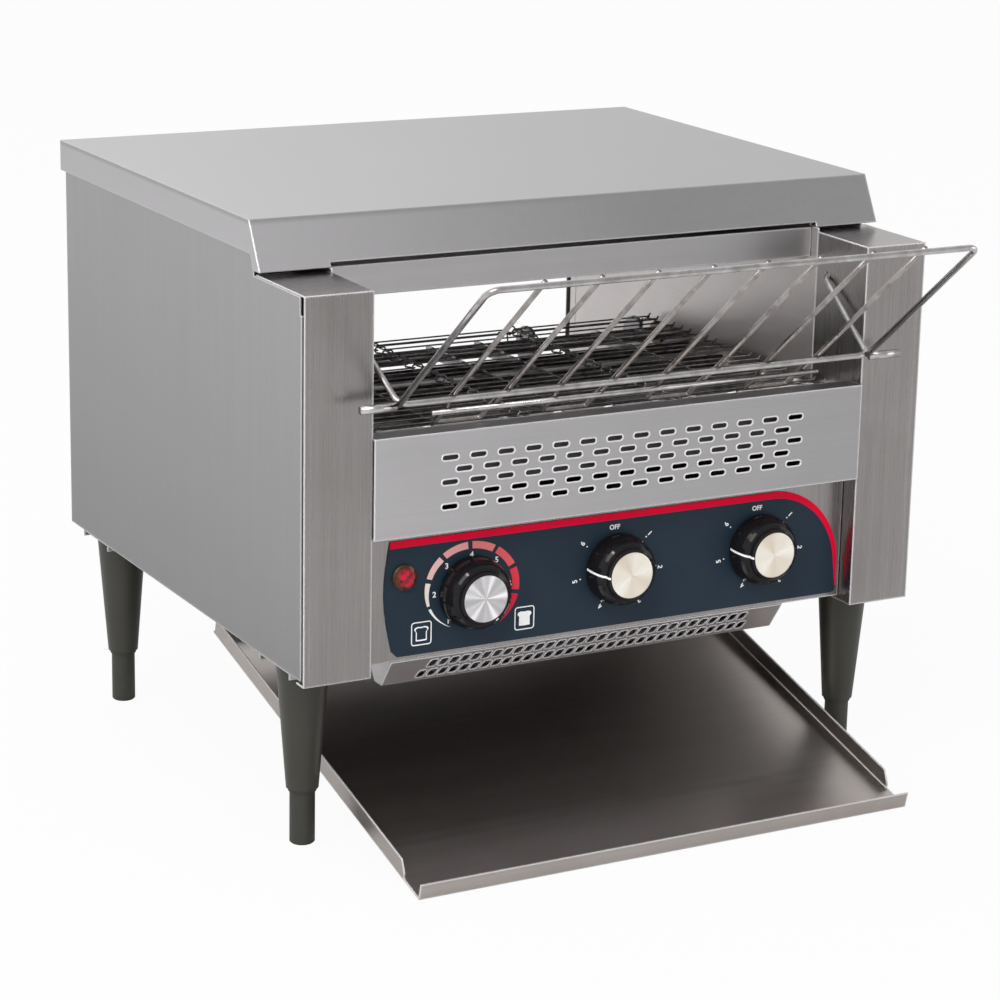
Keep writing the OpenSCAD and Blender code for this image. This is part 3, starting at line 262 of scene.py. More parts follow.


# Sheet metal. Painted shade darkens it towards the table (lowShade) and towards the right (side),
# as a darker mirrored room would, and a painted highlight brightens the left end of the hood's
# slope (lit); the ranges run along z, x, x and z in metres
shadeLook = {"lowShade": (0.4, 0.13), "side": (-0.2, 0.2), "lit": (0.06, -0.22),
             "slope": (0.4195, 0.416), "litColour": grey(0.95), "highlightDull": 0.8}
upright, across, lengthways = (1500, 1500, 16), (16, 1500, 1500), (1500, 16, 1500)  # grain
sheetUsual = {"streaks": 0.12, "cloud": 14.0, "marks": 0.12, "edge": 0.0018, "shine": 0.9,
              "lowShade": 0.0, "side": 0.0, "metal": 1.0, "roughRange": 0.14, "bump": 0.12}
# rim is the colour of the painted edge highlight
sheetLooks = {
    "coverSteel": {"light": grey(0.455), "dark": grey(0.365), "rim": grey(0.92), "rough": 0.30,
                   "grain": lengthways, "lit": 0.38, "shine": 0.35},
    "panelSteel": {"light": grey(0.54), "dark": grey(0.42), "rim": grey(0.9), "rough": 0.30,
                   "grain": upright, "lowShade": 0.38, "shine": 0.6},
    "frontSteel": {"light": grey(0.42, 0.03), "dark": grey(0.21, 0.05), "rim": grey(0.95),
                   "rough": 0.21, "grain": upright, "marks": 0.35, "cloud": 9.0},
    "slotSteel": {"light": grey(0.60), "dark": grey(0.46), "rim": grey(0.95), "rough": 0.28,
                  "grain": across, "marks": 0.3, "side": 0.24},
    "dullSteel": {"light": grey(0.30, 0.02), "dark": grey(0.17, 0.03), "rim": grey(0.5),
                  "rough": 0.36, "grain": across, "marks": 0.5, "cloud": 22.0},
    "traySteel": {"light": grey(0.56, 0.05), "dark": grey(0.38, 0.09), "rim": grey(0.92),
                  "rough": 0.24, "grain": across, "marks": 0.45, "cloud": 12.0},
    "rimSteel": {"light": grey(0.92), "dark": grey(0.78), "rim": grey(0.9), "rough": 0.26,
                 "grain": (300, 300, 300), "marks": 0.2, "metal": 0.5},
    "zincPlate": {"light": grey(0.52), "dark": grey(0.36), "rim": grey(0.7), "rough": 0.34,
                  "grain": (220, 220, 220), "marks": 0.3, "cloud": 60.0},
    "innerSteel": {"light": grey(0.80, 0.025), "dark": grey(0.60, 0.04), "rim": grey(0.8),
                   "rough": 0.33, "grain": lengthways, "marks": 0.4, "cloud": 16.0},
}


def sheetMetal(name, look):
    look = {**sheetUsual, **look}
    made, tree, shader = newMaterial(name)
    lines = placeGroup(tree, grain, Scale=look["grain"], Streaks=look["streaks"])
    marks = placeGroup(tree, smudge, Scale=look["cloud"])["Mask"]
    rim = placeGroup(tree, edges, Radius=look["edge"])
    base = mixColour(tree, lines["Shade"], look["dark"], look["light"])
    base = mixColour(tree, math(tree, "MULTIPLY", marks, look["marks"]), base, look["dark"])
    place = split(tree, objectCoords(tree))
    # Painted shade: the colour goes towards black low down and towards the right
    low = ramp(tree, place[2], *shadeLook["lowShade"], look["lowShade"])
    far = ramp(tree, place[0], *shadeLook["side"], look["side"])
    base = mixColour(tree, math(tree, "MAXIMUM", low, far), base, shadeBlack)
    # Painted highlight: a light patch at the left end of the hood's slope
    if "lit" in look:
        near = ramp(tree, place[0], *shadeLook["lit"], look["lit"])
        slope = ramp(tree, place[2], *shadeLook["slope"])
        base = mixColour(tree, math(tree, "MULTIPLY", near, slope), base, shadeLook["litColour"])
    # Painted highlight on the edges: the edge mask turns the colour towards rim and makes it less
    # metallic
    shine = math(tree, "MULTIPLY", rim["Mask"], look["shine"])
    metal = math(tree, "MULTIPLY_ADD", shine, -shadeLook["highlightDull"] * look["metal"], look["metal"])
    rough = math(tree, "MULTIPLY_ADD", lines["Shade"], look["roughRange"], look["rough"])
    feed(tree, shader, "Base Color", mixColour(tree, shine, base, look["rim"]))
    feed(tree, shader, "Metallic", metal)
    feed(tree, shader, "Roughness", rough)
    addBump(tree, shader, lines["Height"], look["bump"], Normal=rim["Normal"])
    return made


metals = {name: sheetMetal(name, look) for name, look in sheetLooks.items()}

# Wires, rods and small metal
wireLooks = {
    "brightWire": {"light": grey(0.62, 0.01), "dark": grey(0.36, 0.04), "rough": 0.16,
                   "roughRange": 0.12, "cloud": 70.0, "bump": 0.1},
    "slopeWire": {"light": grey(0.40, 0.05), "dark": grey(0.20, 0.08), "rough": 0.2,
                  "roughRange": 0.12, "cloud": 70.0, "bump": 0.1},
    "beltWire": {"light": grey(0.34, 0.02), "dark": grey(0.10, 0.06), "rough": 0.26,
                 "roughRange": 0.2, "cloud": 120.0, "bump": 0.2},
    "elementMetal": {"light": grey(0.14, 0.05), "dark": grey(0.05, 0.1), "rough": 0.5,
                     "roughRange": 0.2, "cloud": 90.0, "bump": 0.3},
    "bronzeBush": {"light": (0.30, 0.22, 0.13, 1), "dark": (0.18, 0.13, 0.08, 1), "rough": 0.35,
                   "roughRange": 0.2, "cloud": 150.0, "bump": 0.2},
}


def wireMetal(name, look):
    made, tree, shader = newMaterial(name, Metallic=1.0)
    marks = placeGroup(tree, smudge, Scale=look["cloud"])["Mask"]
    rough = math(tree, "MULTIPLY_ADD", marks, look["roughRange"], look["rough"])
    feed(tree, shader, "Base Color", mixColour(tree, marks, look["light"], look["dark"]))
    feed(tree, shader, "Roughness", rough)
    addBump(tree, shader, marks, look["bump"], distance=0.3)
    return made


metals.update({name: wireMetal(name, look) for name, look in wireLooks.items()})

# Plastics, ceramic, paint and print
paintUsual = {"cloud": 40.0, "marks": 0.4, "roughRange": 0.1, "sheen": 0.5, "pits": 1800.0,
              "bump": 0.1}
paintLooks = {
    "overlayFilm": {"light": (0.0145, 0.029, 0.047, 1), "dark": (0.0115, 0.023, 0.039, 1),
                    "rough": 0.4, "sheen": 0.2, "pits": 2600.0, "bump": 0.35, "cloud": 26.0},
    "knobBlack": {"light": (0.008, 0.008, 0.010, 1), "dark": (0.014, 0.012, 0.011, 1),
                  "rough": 0.05, "roughRange": 0.04, "bump": 0.03, "sheen": 0.22},
    "legPaint": {"light": (0.032, 0.031, 0.0235, 1), "dark": (0.023, 0.022, 0.0162, 1),
                 "rough": 0.34, "bump": 0.2, "cloud": 30.0},
    "footRubber": {"light": (0.031, 0.030, 0.024, 1), "dark": (0.022, 0.022, 0.0175, 1),
                   "rough": 0.46, "bump": 0.3},
    "steatite": {"light": (0.78, 0.74, 0.66, 1), "dark": (0.62, 0.57, 0.48, 1), "rough": 0.5,
                 "cloud": 110.0},
    "switchPlastic": {"light": (0.62, 0.60, 0.54, 1), "dark": (0.54, 0.52, 0.46, 1),
                      "rough": 0.45},
    "boardGreen": {"light": (0.02, 0.13, 0.05, 1), "dark": (0.01, 0.09, 0.04, 1), "rough": 0.35,
                   "cloud": 120.0},
    "motorGrey": {"light": (0.16, 0.165, 0.17, 1), "dark": (0.11, 0.115, 0.12, 1),
                  "rough": 0.42, "bump": 0.4, "pits": 900.0},
    "glandBlack": {"light": (0.018, 0.018, 0.019, 1), "dark": (0.03, 0.03, 0.03, 1),
                   "rough": 0.45},
    "printWhite": {"light": (0.95, 0.95, 0.95, 1), "dark": (0.9, 0.9, 0.9, 1), "rough": 0.4,
                   "sheen": 0.2},
    "printRed": {"light": (0.84, 0.003, 0.042, 1), "dark": (0.76, 0.002, 0.036, 1),
                 "rough": 0.42, "sheen": 0.06, "cloud": 24.0},
}


def plainPaint(name, look):
    look = {**paintUsual, **look}
    made, tree, shader = newMaterial(name, Metallic=0.0, Specular_IOR_Level=look["sheen"])
    marks = placeGroup(tree, smudge, Scale=look["cloud"])["Mask"]
    worn = math(tree, "MULTIPLY", marks, look["marks"])
    rough = math(tree, "MULTIPLY_ADD", marks, look["roughRange"], look["rough"])
    feed(tree, shader, "Base Color", mixColour(tree, worn, look["light"], look["dark"]))
    feed(tree, shader, "Roughness", rough)
    addBump(tree, shader, noise(tree, objectCoords(tree), look["pits"]), look["bump"])
    return made


paints = {name: plainPaint(name, look) for name, look in paintLooks.items()}

# The speed ring's inks, from white to red
ringInkLook = {"rough": 0.4, "sheen": 0.1, "worn": 0.92, "colours": [
    (0.88, 0.87, 0.85), (0.86, 0.76, 0.70), (0.83, 0.53, 0.49), (0.84, 0.39, 0.37),
    (0.83, 0.22, 0.22), (0.78, 0.11, 0.13), (0.75, 0.045, 0.075), (0.72, 0.02, 0.06)]}
ringInks = []
for i, colour in enumerate(ringInkLook["colours"]):
    worn = tuple(ringInkLook["worn"] * value for value in colour)
    ringInks.append(plainPaint("ringInk%d" % (i + 1), {
        "light": colour + (1,), "dark": worn + (1,), "rough": ringInkLook["rough"],
        "sheen": ringInkLook["sheen"]}))


def middle(node):
    low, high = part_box(node)
    return (low + high) / 2


# Turned metal discs in the knobs: faint light and dark sectors round the centre are painted glints
# of the spun metal, fine rings across
turnedLook = {"phase": 0.7, "depth": 0.3, "mean": 0.5, "smoother": 0.08, "rings": 9000.0,
              "bump": 0.02, "distance": 0.1, "metal": 0.6}
elementFace = {"light": (1.0, 0.96, 0.88, 1), "dark": (0.76, 0.66, 0.54, 1), "sectors": 2.0,
               "jagged": 0.5, "sharp": 1.0, "rough": 0.34}
faceLooks = {
    "speed_knob_face": {"light": grey(1.0), "dark": grey(0.5), "sectors": 5.0, "turned": 0.9,
                        "jagged": 0.8, "sharp": 2.2, "rough": 0.3},
    "top_knob_face": {**elementFace, "turned": 0.4},
    "bottom_knob_face": {**elementFace, "turned": 0.9},
}


def turnedFace(name, look, centre):
    made, tree, shader = newMaterial(name, Metallic=turnedLook["metal"])
    dx, dz, radius = offCentre(tree, objectCoords(tree), centre)
    turn = math(tree, "ARCTAN2", dz, dx)
    waves = math(tree, "SINE", math(tree, "MULTIPLY_ADD", turn, look["sectors"], look["turned"]))
    jagged = math(tree, "SINE", math(tree, "MULTIPLY_ADD", turn, look["sectors"] * 2 + 1,
                                     turnedLook["phase"]))
    both = math(tree, "ADD", waves, math(tree, "MULTIPLY", jagged, look["jagged"]))
    glint = math(tree, "MULTIPLY_ADD", both, turnedLook["depth"], turnedLook["mean"], clamp=True)
    glint = math(tree, "POWER", glint, look["sharp"])
    rough = math(tree, "MULTIPLY_ADD", glint, -turnedLook["smoother"], look["rough"])
    rings = math(tree, "SINE", math(tree, "MULTIPLY", radius, turnedLook["rings"]))
    # Painted glints: the sectors lighten the colour
    feed(tree, shader, "Base Color", mixColour(tree, glint, look["dark"], look["light"]))
    feed(tree, shader, "Roughness", rough)
    addBump(tree, shader, rings, turnedLook["bump"], turnedLook["distance"])
    return made


for node, look in faceLooks.items():
    paints[node] = turnedFace(node + "Metal", look, middle(node))

# Cut lens: bright and dark facets in the middle are painted glints and shade of the cut glass on
# its red, brown towards its rim
lampLook = {"bright": (0.56, 0.003, 0.03, 1), "dark": (0.04, 0.001, 0.002, 1),
            "rim": (0.06, 0.02, 0.008, 1), "cells": 330.0, "contrast": 1.5, "inner": 0.0042,
            "outer": 0.0080, "rough": 0.05, "roughRange": 0.1}
lensRed, tree, shader = newMaterial("lensRed", Metallic=0.0, Coat_Weight=0.1, Coat_Roughness=0.03,
                                    IOR=1.4, Emission_Strength=0.06)
coords = objectCoords(tree)
cells = addNode(tree, "ShaderNodeTexVoronoi", {"Vector": coords, "Scale": lampLook["cells"]})
cells = split(tree, cells.outputs["Color"])[0]
radius = offCentre(tree, coords, middle("lamp_lens"))[2]
facetGlints = math(tree, "POWER", cells, lampLook["contrast"])
glassRed = mixColour(tree, facetGlints, lampLook["dark"], lampLook["bright"])
glassRed = mixColour(tree, ramp(tree, radius, lampLook["inner"], lampLook["outer"]), glassRed,
                     lampLook["rim"])
rough = math(tree, "MULTIPLY_ADD", cells, lampLook["roughRange"], lampLook["rough"])
feed(tree, shader, "Base Color", glassRed)
feed(tree, shader, "Roughness", rough)
feed(tree, shader, "Emission Color", glassRed)

corners = [(end, side) for end in ("front", "rear") for side in ("left", "right")]
finishes = {
    "coverSteel": ["top_cover"],
    "panelSteel": ["left_side_panel", "right_side_panel", "rear_panel"],
    "frontSteel": ["left_front_pillar", "right_front_pillar", "control_fascia"],
    "slotSteel": ["vent_panel", "header_panel", "lower_grille"],
    "innerSteel": ["left_inner_wall", "right_inner_wall", "top_reflector", "bottom_reflector"],
    "dullSteel": ["base_pan", "drop_chute", "compartment_shield"],
    "traySteel": ["toast_tray"],
    "zincPlate": ["leg_plates", "drive_sprockets", "idler_sprockets", "motor_sprocket",
                  "drive_chain", "speed_spindle", "top_switch_spindle", "bottom_switch_spindle"],
    "brightWire": ["loading_rack", "drive_shaft", "idler_shaft", "belt_rails"],
    "beltWire": ["wire_belt"],
    "elementMetal": ["top_elements", "bottom_elements"],
    "bronzeBush": ["shaft_bushes", "lamp_bezel"],
    "steatite": ["element_bushes", "terminal_block"],
    "switchPlastic": ["top_element_switch", "bottom_element_switch"],
    "boardGreen": ["speed_regulator"],
    "motorGrey": ["gearmotor"],
    "glandBlack": ["cable_gland"],
    "overlayFilm": ["control_overlay"],
    "knobBlack": ["speed_knob", "top_element_knob", "bottom_element_knob"],
    "legPaint": ["%s_%s_leg" % corner for corner in corners],
    "footRubber": ["%s_%s_foot" % corner for corner in corners],
}


def finish(node, material):
    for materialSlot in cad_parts[node].material_slots:
        materialSlot.material = material


for name, nodes in finishes.items():
    for node in nodes:
        finish(node, metals.get(name) or paints[name])
for node in faceLooks:
    finish(node, paints[node])
finish("lamp_lens", lensRed)
print("materials are on the CAD nodes")


# Mesh helpers
def newPiece(name, points, faces, materials, body, smooth=False, slots=None):
    mesh = bpy.data.meshes.new(name)
    mesh.from_pydata(points, [], faces)
    for material in materials:
        mesh.materials.append(material)
    if slots:
        mesh.polygons.foreach_set("material_index", slots)
    shell = bmesh.new()
    shell.from_mesh(mesh)
    bmesh.ops.recalc_face_normals(shell, faces=shell.faces)
    shell.to_mesh(mesh)
    shell.free()
    mesh.polygons.foreach_set("use_smooth", [smooth] * len(mesh.polygons))
    mesh.update()
    made = newObject(name, mesh)
    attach(made, body)
    return made


def joined(name, meshes, material, body, smooth=False):
    points, faces = [], []
    for mesh in meshes:
        first = len(points)
        points += [v.co.copy() for v in mesh.vertices]
        faces += [tuple(first + i for i in p.vertices) for p in mesh.polygons]
        bpy.data.meshes.remove(mesh)
    return newPiece(name, points, faces, [material], body, smooth)


def thicken(points, faces, thickness):
    # A flat print in x and z becomes a thin plate, its front face thickness in front of y 0
    count = len(points)
    solid = [(x, -thickness, z) for x, z in points] + [(x, 0.0, z) for x, z in points]
    sides = {}
    for face in faces:
        for start, end in zip(face, face[1:] + face[:1]):
            if (end, start) in sides:
                del sides[end, start]
            else:
                sides[start, end] = True
    shell = [tuple(face) for face in faces]
    shell += [tuple(count + i for i in reversed(face)) for face in faces]
    return solid, shell + [(end, start, start + count, end + count) for start, end in sides]


# Prints on the overlay, in mm
overlayFace = (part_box("control_overlay")[0].y - frontY) / mm
printLook = {"thickness": 0.07, "lift": 0.01}


def printPiece(name, shapes, materials):  # shapes: (points as (x, z), faces, material number)
    points, faces, slots = [], [], []
    for flat, quads, number in shapes:
        solid, shell = thicken(flat, [list(q) for q in quads], printLook["thickness"])
        first = len(points)
        points += [at(x, overlayFace - printLook["lift"] + y, z) for x, y, z in solid]
        faces += [tuple(first + i for i in face) for face in shell]
        slots += [number] * len(shell)
    return newPiece(name, points, faces, materials, "casing", slots=slots)


def band(outer, inner):  # quads between two lines with as many points each
    count = len(outer)
    return outer + inner, [(i, i + 1, count + i + 1, count + i) for i in range(count - 1)]


def ringBand(outer, inner):  # the same between two closed lines
    count = len(outer)
    return outer + inner, [(i, (i + 1) % count, count + (i + 1) % count, count + i)
                           for i in range(count)]


def facing(shape):  # turns a flat shape's faces so that they look to the front
    points, faces = shape
    turned = []
    for face in faces:
        area = sum(points[p][0] * points[q][1] - points[q][0] * points[p][1]
                   for p, q in zip(face, face[1:] + face[:1]))
        turned.append(face if area > 0 else tuple(reversed(face)))
    return points, turned


# Red stripe along the top and round the right corner
stripeLook = {"left": -168.7, "top": 213.1, "width": 4.9, "narrower": 2.1, "turnX": 129.5,
              "radiusX": 56.0, "radiusZ": 58.0, "low": 138.0, "leftSlant": 0.4, "lowSlant": 0.5,
              "steps": 26}
look = stripeLook
outer = [(look["left"], look["top"]), (look["turnX"], look["top"])]
inner = [(look["left"] - look["leftSlant"], look["top"] - look["width"]),
         (look["turnX"], look["top"] - look["width"])]
for i in range(1, look["steps"] + 1):
    turn = radians(90 - 90 * i / look["steps"])
    width = look["width"] - look["narrower"] * (i / look["steps"]) ** 2
    outer.append((look["turnX"] + look["radiusX"] * cos(turn),
                  look["top"] - look["radiusZ"] * (1 - sin(turn))))
    inner.append((look["turnX"] + (look["radiusX"] - width) * cos(turn),
                  look["top"] - look["radiusZ"] + (look["radiusZ"] - width) * sin(turn)))
outer.append((outer[-1][0], look["low"]))
inner.append((outer[-1][0] - look["lowSlant"], look["low"]))
printPiece("overlayStripe", [facing(band(outer, inner)) + (0,)], [paints["printRed"]])

# The speed ring grows from a thin white crescent to a red band, clockwise from 7 o'clock.
# A part is its two ends in degrees and its widths there; the first bends inwards by tip as well
ringLook = {"centre": (-107.5, 173.4), "radius": (33.77, 1.07, -1.82, -0.84), "steps": 12,
            "tip": 2.0, "tipPower": 1.3, "endPower": 0.7,
            "parts": [(213, 252, 0.1, 2.0), (256, 283, 2.0, 3.9), (288, 315, 4.1, 4.8),
                      (320, 353, 4.8, 5.0), (359, 391, 5.0, 5.1), (396, 426, 5.1, 5.3),
                      (431, 458, 5.4, 5.4), (463, 500, 5.2, 0.3)]}


def ringRim(turn):  # the ring is a little wider than high
    even, high, wide, leaning = ringLook["radius"]
    return even + high * cos(turn) + wide * cos(2 * turn) + leaning * sin(2 * turn)


shapes = []
look = ringLook
for number, (start, end, wide1, wide2) in enumerate(look["parts"]):
    outer, inner = [], []
    power = look["endPower"] if number == len(look["parts"]) - 1 else 1
    for i in range(look["steps"] + 1):
        share = i / look["steps"]
        turn = radians(start + (end - start) * i / look["steps"])
        width = wide1 + (wide2 - wide1) * share ** power
        rim = ringRim(turn)
        if number == 0:
            rim -= look["tip"] * (1 - share) ** look["tipPower"]
        for line, radius in ((outer, rim), (inner, rim - width)):
            line.append((look["centre"][0] + radius * sin(turn),
                         look["centre"][1] + radius * cos(turn)))
    shapes.append(facing(band(outer, inner)) + (number,))
printPiece("speedRing", shapes, ringInks)

# Slice signs: a rounded frame round the outline of a slice, and one round a full slice
sliceLook = {"size": 15.2, "height": 16.4, "corner": 2.2, "cornerSteps": 5, "line": 0.75,
             "outline": (-145.2, 147.3), "full": (-67.4, 147.6), "slice": 1.12, "hollow": 0.82,
             "half": [(0, 4.0), (2.2, 4.3), (4.0, 3.9), (4.7, 3.0), (4.6, 2.1), (3.9, 1.4),
                      (3.6, 0.8), (3.7, -4.2), (3.5, -4.6), (0, -4.7)]}


def roundedBox(x, z, width, height, corner):
    points = []
    for cx, cz, start in ((1, 1, 0), (-1, 1, 90), (-1, -1, 180), (1, -1, 270)):
        for i in range(sliceLook["cornerSteps"] + 1):
            turn = radians(start + 90 * i / sliceLook["cornerSteps"])
            points.append((x + cx * (width / 2 - corner) + corner * cos(turn),
                           z + cz * (height / 2 - corner) + corner * sin(turn)))
    return points


def sliceOutline(x, z, size):
    half = sliceLook["half"]
    return ([(x - size * px, z + size * pz) for px, pz in half]
            + [(x + size * px, z + size * pz) for px, pz in reversed(half[1:-1])])


def shrunk(points, x, z, share):
    return [(x + (px - x) * share, z + (pz - z) * share) for px, pz in points]


shapes = []
look = sliceLook
for kind in ("outline", "full"):
    x, z = look[kind]
    outer = roundedBox(x, z, look["size"], look["height"], look["corner"])
    inner = roundedBox(x, z, look["size"] - 2 * look["line"], look["height"] - 2 * look["line"],
                       look["corner"] - look["line"])
    shapes.append(facing(ringBand(outer, inner)) + (0,))
    slicePoints = sliceOutline(x, z, look["slice"])
    if kind == "full":
        shapes.append(facing((slicePoints, [tuple(range(len(slicePoints)))])) + (0,))
    else:
        hollow = shrunk(slicePoints, x, z, look["hollow"])
        shapes.append(facing(ringBand(slicePoints, hollow)) + (0,))
printPiece("sliceSigns", shapes, [paints["printWhite"]])

# Numbers are text in the built-in font, made a thin mesh and set on the overlay
numberLook = {"size": 5.0, "offSize": 4.7, "ringSize": 5.5, "bold": 0.13, "thickness": 0.04,
              "fineness": 4, "dotRadius": 0.55, "dotSides": 10, "knobs": (4.0, 119.0),
              "off": (-2.7, 29.0),
              "ring": [(-125.3, 153.2), (-136.0, 172.7), (-127.0, 191.4), (-108.4, 197.2),
                       (-89.5, 191.2), (-79.2, 173.0)],
              # Round an element knob, from its centre: a number's place, its dot's and its turn
              "dial": [((25.2, 21.3), (22.5, 19.2), 50), ((34.3, -3.8), (30.9, -2.4), 97),
                       ((18, -25.8), (15.6, -23.0), 145), ((-12.4, -25.9), (-11.5, -22.6), 205),
                       ((-32.8, -5.9), (-28.8, -4.8), 262), ((-27.4, 20.3), (-24.1, 17.8), 307)]}


def writeText(text, x, z, size, turn=0.0):
    curve = bpy.data.curves.new("writing", "FONT")
    curve.body = text
    curve.size = size * mm
    curve.align_x = "CENTER"
    curve.align_y = "CENTER"
    curve.extrude = numberLook["thickness"] * mm
    curve.offset = numberLook["bold"] * mm
    curve.resolution_u = numberLook["fineness"]
    holder = newObject("writing", curve)
    written = holder.evaluated_get(bpy.context.evaluated_depsgraph_get())
    mesh = bpy.data.meshes.new_from_object(written)
    bpy.data.objects.remove(holder)
    mesh.transform(Matrix.Translation(at(x, overlayFace - numberLook["thickness"], z))
                   @ Matrix.Rotation(radians(turn), 4, "Y") @ Matrix.Rotation(pi / 2, 4, "X"))
    return mesh


look = numberLook
texts = [writeText(str(i + 1), x, z, look["ringSize"]) for i, (x, z) in enumerate(look["ring"])]
dots = []
for knobX in look["knobs"]:
    knobZ = middle("top_element_knob").z / mm
    texts.append(writeText("OFF", knobX + look["off"][0], knobZ + look["off"][1],
                           look["offSize"]))
    for i, (number, dot, turn) in enumerate(look["dial"]):
        texts.append(writeText(str(i + 1), knobX + number[0], knobZ + number[1], look["size"],
                               turn))
        dots.append((knobX + dot[0], knobZ + dot[1]))
joined("dialNumbers", texts, paints["printWhite"], "casing")
shapes = []
r, sides = look["dotRadius"], look["dotSides"]
for x, z in dots:
    dotPoints = [(x + r * cos(tau * i / sides), z + r * sin(tau * i / sides))
                 for i in range(sides)]
    shapes.append(facing((dotPoints, [tuple(range(sides))])) + (0,))
printPiece("dialDots", shapes, [paints["printWhite"]])
print("overlay is printed")


# Wires and rims are grown with Geometry Nodes. Both trees end the same way
def endTree(tree, geometry, material, outside):
    geometry = addNode(tree, "GeometryNodeRealizeInstances", {"Geometry": geometry}).outputs[0]
    painted = addNode(tree, "GeometryNodeSetMaterial", {"Geometry": geometry,
                                                        "Material": material})
    tree.links.new(painted.outputs[0], outside["Geometry"])


# A polyline's corners are rounded and a round wire runs along it
bentWire, inside, outside = newGroup("bentWire", "GeometryNodeTree", [
    ("Geometry", "Geometry", None), ("Radius", "Float", 0.001), ("Bend", "Float", 0.002),
    ("Steps", "Int", 3), ("Sides", "Int", 8), ("Material", "Material", None)],
    [("Geometry", "Geometry")])
line = addNode(bentWire, "GeometryNodeMeshToCurve", {"Mesh": inside["Geometry"]}).outputs[0]
line = addNode(bentWire, "GeometryNodeFilletCurve", {
    "Curve": line, "Count": inside["Steps"], "Radius": inside["Bend"], "Limit Radius": True},
    mode="POLY").outputs[0]
ring = addNode(bentWire, "GeometryNodeCurvePrimitiveCircle", {
    "Resolution": inside["Sides"], "Radius": inside["Radius"]}).outputs[0]
tube = addNode(bentWire, "GeometryNodeCurveToMesh", {
    "Curve": line, "Profile Curve": ring, "Fill Caps": True}).outputs[0]
endTree(bentWire, tube, inside["Material"], outside)

# One shape at each point, turned about X by the point's own turn
shapeAtPoints, inside, outside = newGroup("shapeAtPoints", "GeometryNodeTree", [
    ("Geometry", "Geometry", None), ("Shape", "Object", None), ("Material", "Material", None)],
    [("Geometry", "Geometry")])
shape = addNode(shapeAtPoints, "GeometryNodeObjectInfo", {"Object": inside["Shape"]})
turned = addNode(shapeAtPoints, "GeometryNodeInputNamedAttribute", {"Name": "turn"},
                 data_type="FLOAT").outputs["Attribute"]
turned = addNode(shapeAtPoints, "ShaderNodeCombineXYZ", {"X": turned}).outputs[0]
placed = addNode(shapeAtPoints, "GeometryNodeInstanceOnPoints", {
    "Points": inside["Geometry"], "Instance": shape.outputs["Geometry"],
    "Rotation": turned}).outputs[0]
endTree(shapeAtPoints, placed, inside["Material"], outside)


def grow(tree, holder, values):  # runs a tree on an object and gives back a plain mesh
    modifier = holder.modifiers.new("grow", "NODES")
    modifier.node_group = tree
    for item in tree.interface.items_tree:
        if item.in_out == "INPUT" and item.name in values:
            modifier[item.identifier] = values[item.name]
    holder.update_tag()
    bpy.context.view_layer.update()
    grown = holder.evaluated_get(bpy.context.evaluated_depsgraph_get())
    mesh = bpy.data.meshes.new_from_object(grown)
    bpy.data.objects.remove(holder)
    if "turn" in mesh.attributes.keys():
        mesh.attributes.remove(mesh.attributes["turn"])
    return mesh


def wireMesh(lines, look, material, closed=False):  # lines of points in metres, look in mm
    points, links = [], []
    for line in lines:
        first = len(points)
        points += line
        links += [(first + i, first + i + 1) for i in range(len(line) - 1)]
        if closed:
            links.append((first + len(line) - 1, first))
    holder = newObject("lines", bpy.data.meshes.new("lines"))
    holder.data.from_pydata(points, links, [])
    return grow(bentWire, holder, {
        "Radius": look["radius"] * mm, "Bend": look["bend"] * mm, "Steps": look["steps"],
        "Sides": look["sides"], "Material": material})


def spread(mesh, points, turns, material):  # the mesh at each point, turned about X
    shape = newObject("shape", mesh)
    holder = newObject("points", bpy.data.meshes.new("points"))
    holder.data.from_pydata(points, [], [])
    ownTurn = holder.data.attributes.new("turn", "FLOAT", "POINT")
    ownTurn.data.foreach_set("value", turns)
    grown = grow(shapeAtPoints, holder, {"Shape": shape, "Material": material})
    bpy.data.objects.remove(shape)
    return grown


def standIn(name, mesh, body, slot, *nodes):  # a grown mesh in place of CAD nodes, or beside them
    mesh.name = name
    mesh.polygons.foreach_set("use_smooth", [True] * len(mesh.polygons))
    made = newObject(name, mesh)
    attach(made, body)
    if nodes:
        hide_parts(*nodes)


# Belt: the same cross wire, hooked round the next one, all the way round the loop.
# reach and crest say how far past the next wire a hook goes, hookIn and hookOut how it leans
beltLook = {"pitch": 12.0, "teeth": 7, "top": 282.0, "front": 34.0, "run": 20, "edge": 182.0,
            "joint": 60.0, "neck": 2.5, "crown": 4.6, "lean": 1, "under": 1.8, "over": 1.5,
            "reach": 0.6, "crest": 2.6, "hookIn": 3.5, "hookOut": 1.5,
            "radius": 0.62, "bend": 1.3, "steps": 3, "sides": 7}
look = beltLook
pitch, front, top = look["pitch"], look["front"], look["top"]
wrap = tau / look["teeth"]
beltR = pitch / (2 * sin(wrap / 2))
shaftZ = top - beltR
rearY = front + look["run"] * pitch
stations = [(front + i * pitch, top) for i in range(look["run"] + 1)]
stations += [(rearY + beltR * sin(k * wrap), shaftZ + beltR * cos(k * wrap)) for k in (1, 2, 3)]
lowY, lowZ = stations[-1]
stations += [(lowY - i * pitch, lowZ) for i in range(1, look["run"] + 2)]
stations += [(front - beltR * sin(k * wrap), shaftZ + beltR * cos(k * wrap)) for k in (2, 1)]
turns = [atan2(after[1] - here[1], after[0] - here[0])
         for here, after in zip(stations, stations[1:] + stations[:1])]
reach, crest = pitch + look["reach"], pitch + look["crest"]
edgeHook = [(look["edge"], 0, 0), (look["edge"] - look["hookIn"], reach, -look["under"]),
            (look["edge"] + look["hookOut"], crest, look["over"])]


def beltJoint(x):
    look = beltLook
    neck, crown, under, over = look["neck"], look["crown"], look["under"], look["over"]
    return [(x - neck, 0, 0), (x - crown, reach, -under), (x - crown + look["lean"], crest, over),
            (x + crown - look["lean"], crest, over), (x + crown, reach, -under), (x + neck, 0, 0)]


